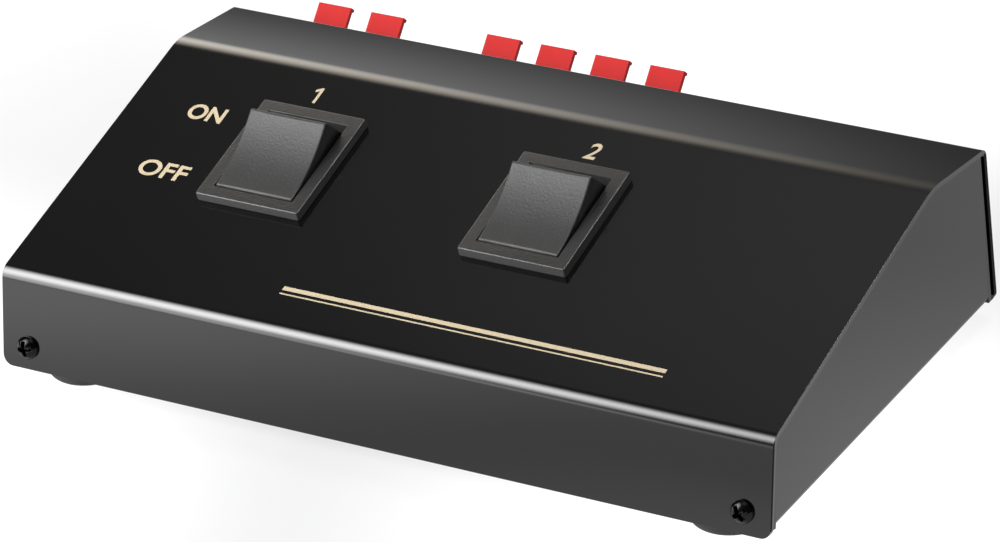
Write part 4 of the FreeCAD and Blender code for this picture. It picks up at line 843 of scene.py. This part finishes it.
ear_grids = []
for block, (x, columns) in BLOCKS.items():
    node = f"{block}_terminal_block"
    moulding = dressed(node, BLOCK_EDGE, f"{block}_block")
    stand_for(moulding, [node], black_abs)
    reach = (columns - 1) * COLUMN_PITCH / 2 + CELL_HALF + EAR_SCREW_OUT
    for side in (-1, 1):
        along = BACK_LENGTH - LOWER_ROW - ROW_PITCH / 2
        ear = seat(BACK, x + side * reach, along, FLANGE)
        ear_grids.append(put(pan_screw(**EAR_SCREW), ear, BACK_WAY))
ear_screws = piece_of("block_fixing_screws", mesh_of("block_fixing_screws", ear_grids))
stand_for(ear_screws, ["terminal_block_screws"], zinc)

# ---------------------------------------------------------------------------------------------
# Levers. One in each cell, red in the upper row and black in the lower: a flat arm with a lip
# under its end, a boss with two pins, and two legs that push the clamp spring. Moulded ABS.

LEVER_RISE, LEVER_PIVOT_OUT = 43.2, 2.5
LEVER_HALF_WIDTH, LEVER_HALF_THICK, LEVER_LENGTH = 3.5, 0.45, 9.25
LEVER_LIP_LENGTH, LEVER_LIP_HEIGHT = 0.6, 0.5
LEVER_BOSS, LEVER_PIN, LEVER_PIN_REACH = 1.3, 0.9, 0.9
LEG_ANGLE, LEG_LENGTH, LEG_THICK, LEG_WIDTH = 100.0, 3.0, 1.2, 1.1
LEVER_EDGE = 0.16

# Moulded ABS in two colours: spark eroded to a matt face, with a hardly seen mottle.
LEVER_SKIN = {"IOR": 1.54, "Specular IOR Level": 0.15}
red_abs = mottled("moulded_red_abs", 2, 3.0, ("#941110", "#A01614"), (0.6, 0.7), LEVER_SKIN)
lever_black_abs = mottled(
    "moulded_lever_black_abs", 2, 3.0, ("#161616", "#1E1E1E"), (0.6, 0.7), LEVER_SKIN
)


def arm_outline():
    """The arm's side view: a flat bar whose end turns down in a lip."""
    lip = LEVER_LENGTH - LEVER_LIP_LENGTH
    under = -LEVER_HALF_THICK - LEVER_LIP_HEIGHT
    corners = [
        (0, -LEVER_HALF_THICK),
        (lip, -LEVER_HALF_THICK),
        (lip, under),
        (LEVER_LENGTH, under),
        (LEVER_LENGTH, LEVER_HALF_THICK),
        (0, LEVER_HALF_THICK),
    ]
    return np.array(corners)


def carried(outline, middle, left, right):
    """A closed side view carried across the width; both ends close on a point inside it."""
    x = np.array([left, left, right, right])[:, None] + 0 * outline[:, 0]
    share = np.array([0, 1, 1, 0])[:, None, None]
    side = middle + share * (outline - middle)
    return np.concatenate([x[..., None], side], axis=-1)


def lever_grids():
    """The arm, the boss and pins, and the two legs, each a closed side view carried across."""
    turn = np.radians(np.arange(0, 360, 15))
    circle = np.column_stack([np.cos(turn), np.sin(turn)])
    slant = -math.radians(LEVER_RISE + LEG_ANGLE)
    leg = np.array([[0, -1], [1, -1], [1, 1], [0, 1]]) * [LEG_LENGTH, LEG_THICK / 2]
    cosine, sine = math.cos(slant), math.sin(slant)
    leg = leg @ np.array([[cosine, sine], [-sine, cosine]])
    pin_end = LEVER_HALF_WIDTH + LEVER_PIN_REACH
    inner_leg = LEVER_HALF_WIDTH - LEG_WIDTH
    end_of_arm = (LEVER_LENGTH - LEVER_LIP_LENGTH / 2, 0)
    return [
        carried(arm_outline(), end_of_arm, -LEVER_HALF_WIDTH, LEVER_HALF_WIDTH),
        carried(LEVER_BOSS * circle, (0, 0), -LEVER_HALF_WIDTH, LEVER_HALF_WIDTH),
        carried(LEVER_PIN * circle, (0, 0), -pin_end, pin_end),
        carried(leg, leg.mean(axis=0), -LEVER_HALF_WIDTH, -inner_leg),
        carried(leg, leg.mean(axis=0), inner_leg, LEVER_HALF_WIDTH),
    ]


ROWS = (("lower", lever_black_abs, "black_lever"), ("upper", red_abs, "red_lever"))
for block, (x, columns) in BLOCKS.items():
    for row, (word, finish, slot) in enumerate(ROWS):
        along = BACK_LENGTH - LOWER_ROW - row * ROW_PITCH
        for column in range(columns):
            node = f"{block}_lever_{word}_{column + 1}"
            across = x + (column - (columns - 1) / 2) * COLUMN_PITCH
            pivot = seat(BACK, across, along, LEVER_PIVOT_OUT)
            angle = BACK_WAY + 90 + LEVER_RISE
            grids = [put(grid, pivot, angle) for grid in lever_grids()]
            lever = piece_of(f"{node}_arm", mesh_of(f"{node}_arm", grids))
            rounded(lever, LEVER_EDGE, angle=50, segments=2)
            stand_for(lever, [node], finish)

# ---------------------------------------------------------------------------------------------
# Tags and clamp springs. In each cell a tinned tag takes the wire outside and is soldered
# inside, and a bent leaf spring presses the wire on it.

# Tinned brass: a soft grey white, dulled by handling.
tinned = mottled(
    "tinned_brass", 1, 4.0, ("#B9B8B2", "#CFCDC4"), (0.28, 0.45), {"Metallic": 1.0}
)

coat(["input_tags", "output_tags"], tinned)
coat(["input_clamp_springs", "output_clamp_springs"], spring_steel)

# ---------------------------------------------------------------------------------------------
# Wires. Stranded hook-up wire in PVC from the tags to the switches' blades: red for what is
# switched, white for the links and black for the returns.


def insulation(colour_name, shade, side_painted_light):
    """Extruded PVC: a soft, slightly waxy gloss and a faint unevenness along the lead."""
    name = f"{colour_name}_pvc_insulation"
    return mottled(name, 1.5, 3.0, (shade, side_painted_light), (0.36, 0.52), {"IOR": 1.53})


wires = [name for name in frame["nodes"] if name.startswith("wire_")]
returns = [name for name in wires if name.startswith("wire_return")]
bridges = [name for name in wires if name.startswith("wire_link")]
switched = [name for name in wires if name not in returns + bridges]
coat(returns, insulation("black", "#1B1B1B", "#262626"))
coat(bridges, insulation("white", "#DEDDD6", "#EAE9E3"))
coat(switched, insulation("red", "#B3201C", "#C22A24"))

# ---------------------------------------------------------------------------------------------
# Printing. Screen printed ink on the slope: ON and OFF beside the first switch, a number above
# each switch, and a plain double rule below them.

INK = 0.03
INK_SINK = 0.005

# Screen ink: warm cream yellow, matt, a little thinner and darker where the mesh left it.
cream_ink, tree, place = new_finish("cream_screen_ink")
mesh_marks = noise(tree, place, 0.35, 2.0)
colour = tones(tree, "#8D8169", "#9A8D74", mesh_marks)
surface(tree, {"IOR": 1.5, "Roughness": 0.55}, {"Base Color": (colour, 2)})


def printed_word(word, left, right, low, high, weight, slant):
    """A word's filled outlines, stretched to its place: x and along from its own corners."""
    text = bpy.data.curves.new("word", "FONT")
    text.body, text.offset, text.shear = word, weight, slant
    holder = bpy.data.objects.new("word", text)
    mesh = bpy.data.meshes.new_from_object(holder)
    spots = coordinates(mesh)[:, :2]
    faces = [list(face.vertices) for face in mesh.polygons]
    bpy.data.objects.remove(holder)
    bpy.data.curves.remove(text)
    bpy.data.meshes.remove(mesh)
    share = (spots - spots.min(axis=0)) / np.ptp(spots, axis=0)
    return [left, low] + share * [right - left, high - low], faces


def printed_bar(left, right, low, high):
    """A plain ruled line."""
    corners = [[left, low], [right, low], [right, high], [left, high]]
    return np.array(corners), [[0, 1, 2, 3]]


def printed_one(left, right, low, high):
    """The figure 1: a stem a little under half as wide as the figure, and a flag."""
    outline = [(0.6, 0), (1, 0), (1, 1), (0.7, 1), (0, 0.83), (0.08, 0.68), (0.6, 0.79)]
    spots = [left, low] + np.array(outline) * [right - left, high - low]
    return spots, [list(range(len(outline)))]


def make_printing(marks):
    """All marks in one layer of ink, laid on the slope and as thick as the ink."""
    points, faces, start = [], [], 0
    for spots, sides in marks:
        points.append(np.column_stack([spots, np.full(len(spots), INK)]))
        faces += [[start + corner for corner in side] for side in sides]
        start += len(spots)
    laid = put(np.vstack(points), seat(SLOPE, 0, 0), SLOPE_WAY)
    mesh = bpy.data.meshes.new("slope_printing")
    mesh.from_pydata((laid * MM).tolist(), [], faces)
    piece = in_scene("slope_printing", mesh)
    ink = piece.modifiers.new("ink", "SOLIDIFY")
    ink.thickness, ink.offset = (INK + INK_SINK) * MM, -1.0
    mesh.materials.append(cream_ink)
    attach(piece, "case")


# Each mark lies from left to right and from low to high on the slope. A word's last two numbers
# thicken and slant it.
RULE_LEFT, RULE_RIGHT = -23.3, 51.4
MARKS = [
    printed_word("ON", -63.75, -56.3, 43.45, 47.3, 0.027, 0.0),
    printed_word("OFF", -65.15, -55.15, 28.1, 32.1, 0.02, 0.0),
    printed_one(-43.15, -41.7, 52.85, 56.8),
    printed_word("2", 12.8, 15.25, 52.6, 56.6, 0.015, 0.15),
    printed_bar(RULE_LEFT, RULE_RIGHT, 8.9, 9.8),
    printed_bar(RULE_LEFT, RULE_RIGHT, 7.9, 8.2),
]
make_printing(MARKS)

# ---------------------------------------------------------------------------------------------
# Studio. A white floor that glows, a dim grey sky, soft boxes in front, behind on the left and
# over the right end, a soft light above, and the camera.

FLOOR_HALF, FLOOR_POINTS = 3000.0, 5

# Matt grey paper that glows, though it is no lamp: its painted glow is most of its light, so
# shadows stay faint. The glow grows away from the object, with painted pools of light in front
# on the left, by the right end and behind.
paper, tree, place = new_finish("matt_paper_painted_glow")
fibre = noise(tree, place, 3, 3.0)
colour = tones(tree, "#454546", "#494949", fibre)


def pool(centre, near, far, inside, outside):
    """A round patch whose glow changes softly from its middle to its rim, in metres."""
    apart = {"operation": "DISTANCE", 1: centre}
    reach = add(tree, "VectorMath", apart, {0: (place, "Object")})
    ramp = {"From Min": near, "From Max": far, "To Min": inside, "To Max": outside}
    ramp["interpolation_type"] = "SMOOTHSTEP"
    return add(tree, "MapRange", ramp, {"Value": (reach, "Value")})


around = pool((0.0, 0.0, 0.0), 0.1, 0.3, 0.76, 1.2)
front = pool((-0.14, -0.12, 0.0), 0.02, 0.15, 1.1, 0.0)
right = pool((0.085, -0.035, 0.0), 0.02, 0.1, 0.42, 0.0)
behind = pool((-0.03, 0.15, 0.0), 0.05, 0.13, 0.35, 0.0)
light = around
for patch in (front, right, behind):
    light = maths(tree, "ADD", (light, 0), (patch, 0))
surface(
    tree,
    {"Roughness": 0.95, "Specular IOR Level": 0.1, "Emission Color": linear("#FFFFFF")},
    {"Base Color": (colour, 2), "Emission Strength": (light, 0)},
)

edge = np.linspace(-FLOOR_HALF, FLOOR_HALF, FLOOR_POINTS)
x, y = np.meshgrid(edge, edge)
spots = np.stack([x, y, 0 * x], axis=-1).reshape(-1, 3)
index = np.arange(FLOOR_POINTS**2).reshape(FLOOR_POINTS, FLOOR_POINTS)
floor_mesh = bpy.data.meshes.new("studio_floor")
floor_mesh.from_pydata((spots * MM).tolist(), [], quads(index).tolist())
floor_mesh.materials.append(paper)
in_scene("studio_floor", floor_mesh)

# A plain sky, a little lighter overhead than at the horizon.
SKY_LOW, SKY_HIGH = 0.12, 0.155
sky = bpy.data.worlds.new("studio_sky")
sky.use_nodes = True
tree = sky.node_tree
tree.nodes.clear()
look = add(tree, "TexCoord")
parts = add(tree, "SeparateXYZ", links={"Vector": (look, "Generated")})
ramp = {"interpolation_type": "SMOOTHSTEP", "From Min": 0.35, "From Max": 0.65}
height = add(tree, "MapRange", ramp, {"Value": (parts, "Z")})
greys = {"data_type": "RGBA", 6: (*[SKY_LOW] * 3, 1), 7: (*[SKY_HIGH] * 3, 1)}
shade = add(tree, "Mix", greys, {0: (height, 0)})
glow = add(tree, "Background", {"Strength": 1.0}, {"Color": (shade, 2)})
add(tree, "OutputWorld", links={"Surface": (glow, "Background")})
bpy.context.scene.world = sky

LIGHTS_AIM_HEIGHT = 0.02


def soft_box(name, centre, size, watts, roll=0.0, tint="#FFFFFF", aim_x=0.0):
    """A rectangular light that faces a point in the object's middle plane and dims softly
    towards its edges.

    Sizes are in metres. Across each side its strength is one smooth step from the middle to
    the edge, and the two are multiplied.
    """
    lamp = bpy.data.lights.new(name, "AREA")
    lamp.shape, lamp.size, lamp.size_y, lamp.energy = "RECTANGLE", size[0], size[1], watts
    lamp.color = linear(tint)[:3]
    lamp.use_nodes = True
    tree = lamp.node_tree
    tree.nodes.clear()
    spot = add(tree, "NewGeometry")
    parts = add(tree, "SeparateXYZ", links={"Vector": (spot, "Parametric")})
    ramp = {"From Max": 0.5, "To Min": 1.0, "To Max": 0.0}
    ramp["interpolation_type"] = "SMOOTHSTEP"
    dims = []
    for side in ("X", "Y"):
        off = maths(tree, "SUBTRACT", (parts, side), 0.5)
        reach = maths(tree, "ABSOLUTE", (off, 0))
        dims.append(add(tree, "MapRange", ramp, {"Value": (reach, 0)}))
    dim = maths(tree, "MULTIPLY", (dims[0], 0), (dims[1], 0))
    shine = add(tree, "Emission", links={"Strength": (dim, 0)})
    add(tree, "OutputLight", links={"Surface": (shine, "Emission")})
    way = Vector(centre) - Vector((aim_x, 0, LIGHTS_AIM_HEIGHT))
    facing = way.to_track_quat("Z", "Y").to_matrix().to_4x4()
    spin = Matrix.Rotation(math.radians(roll), 4, "Z")
    in_scene(name, lamp).matrix_world = Matrix.Translation(centre) @ facing @ spin


# The strip and the card behind show as two bright bands on the sheet's rear bend; the low card
# lights the lip and the cards above keep the slope from going black.
soft_box("key_front_left", (-0.33, -0.341, 0.335), (0.6, 0.9), 34.8, roll=-15.0)
soft_box(
    "strip_back_left", (-0.42, 0.34, 0.284), (0.78, 0.27), 3.7, tint="#FFF4E4", aim_x=-0.42
)
soft_box("card_back_left", (-0.42, 0.375, 0.242), (0.78, 0.266), 1.2)
soft_box("card_front_low", (-0.33, -0.49, 0.06), (0.6, 0.26), 2.2)
soft_box("card_over_slope", (-0.2, 0.28, 0.6), (0.5, 0.5), 0.24)
soft_box("rim_over_right", (0.13, 0.21, 0.55), (0.3, 0.12), 9.0)
soft_box("fill_above", (0.12, -0.12, 0.8), (0.9, 0.9), 3.7)

CAMERA_PLACE = (0.474249, -0.736185, 0.502103)
CAMERA_AZIMUTH, CAMERA_ELEVATION, CAMERA_ROLL = 32.934, 29.197, -5.553
LENS, SENSOR_WIDTH = 207.54, 36.0
CAMERA_SHIFT = (0.0072, 0.0023)
CAMERA_NEAR, CAMERA_FAR = 0.05, 20.0

camera_data = bpy.data.cameras.new("camera")
camera_data.lens, camera_data.sensor_width = LENS, SENSOR_WIDTH
camera_data.shift_x, camera_data.shift_y = CAMERA_SHIFT
camera_data.clip_start, camera_data.clip_end = CAMERA_NEAR, CAMERA_FAR
camera = in_scene("camera", camera_data)
camera.matrix_world = (
    Matrix.Translation(CAMERA_PLACE)
    @ Matrix.Rotation(math.radians(CAMERA_AZIMUTH), 4, "Z")
    @ Matrix.Rotation(math.radians(90 - CAMERA_ELEVATION), 4, "X")
    @ Matrix.Rotation(math.radians(CAMERA_ROLL), 4, "Z")
)
bpy.context.scene.camera = camera
bpy.context.scene.view_settings.view_transform = "Standard"
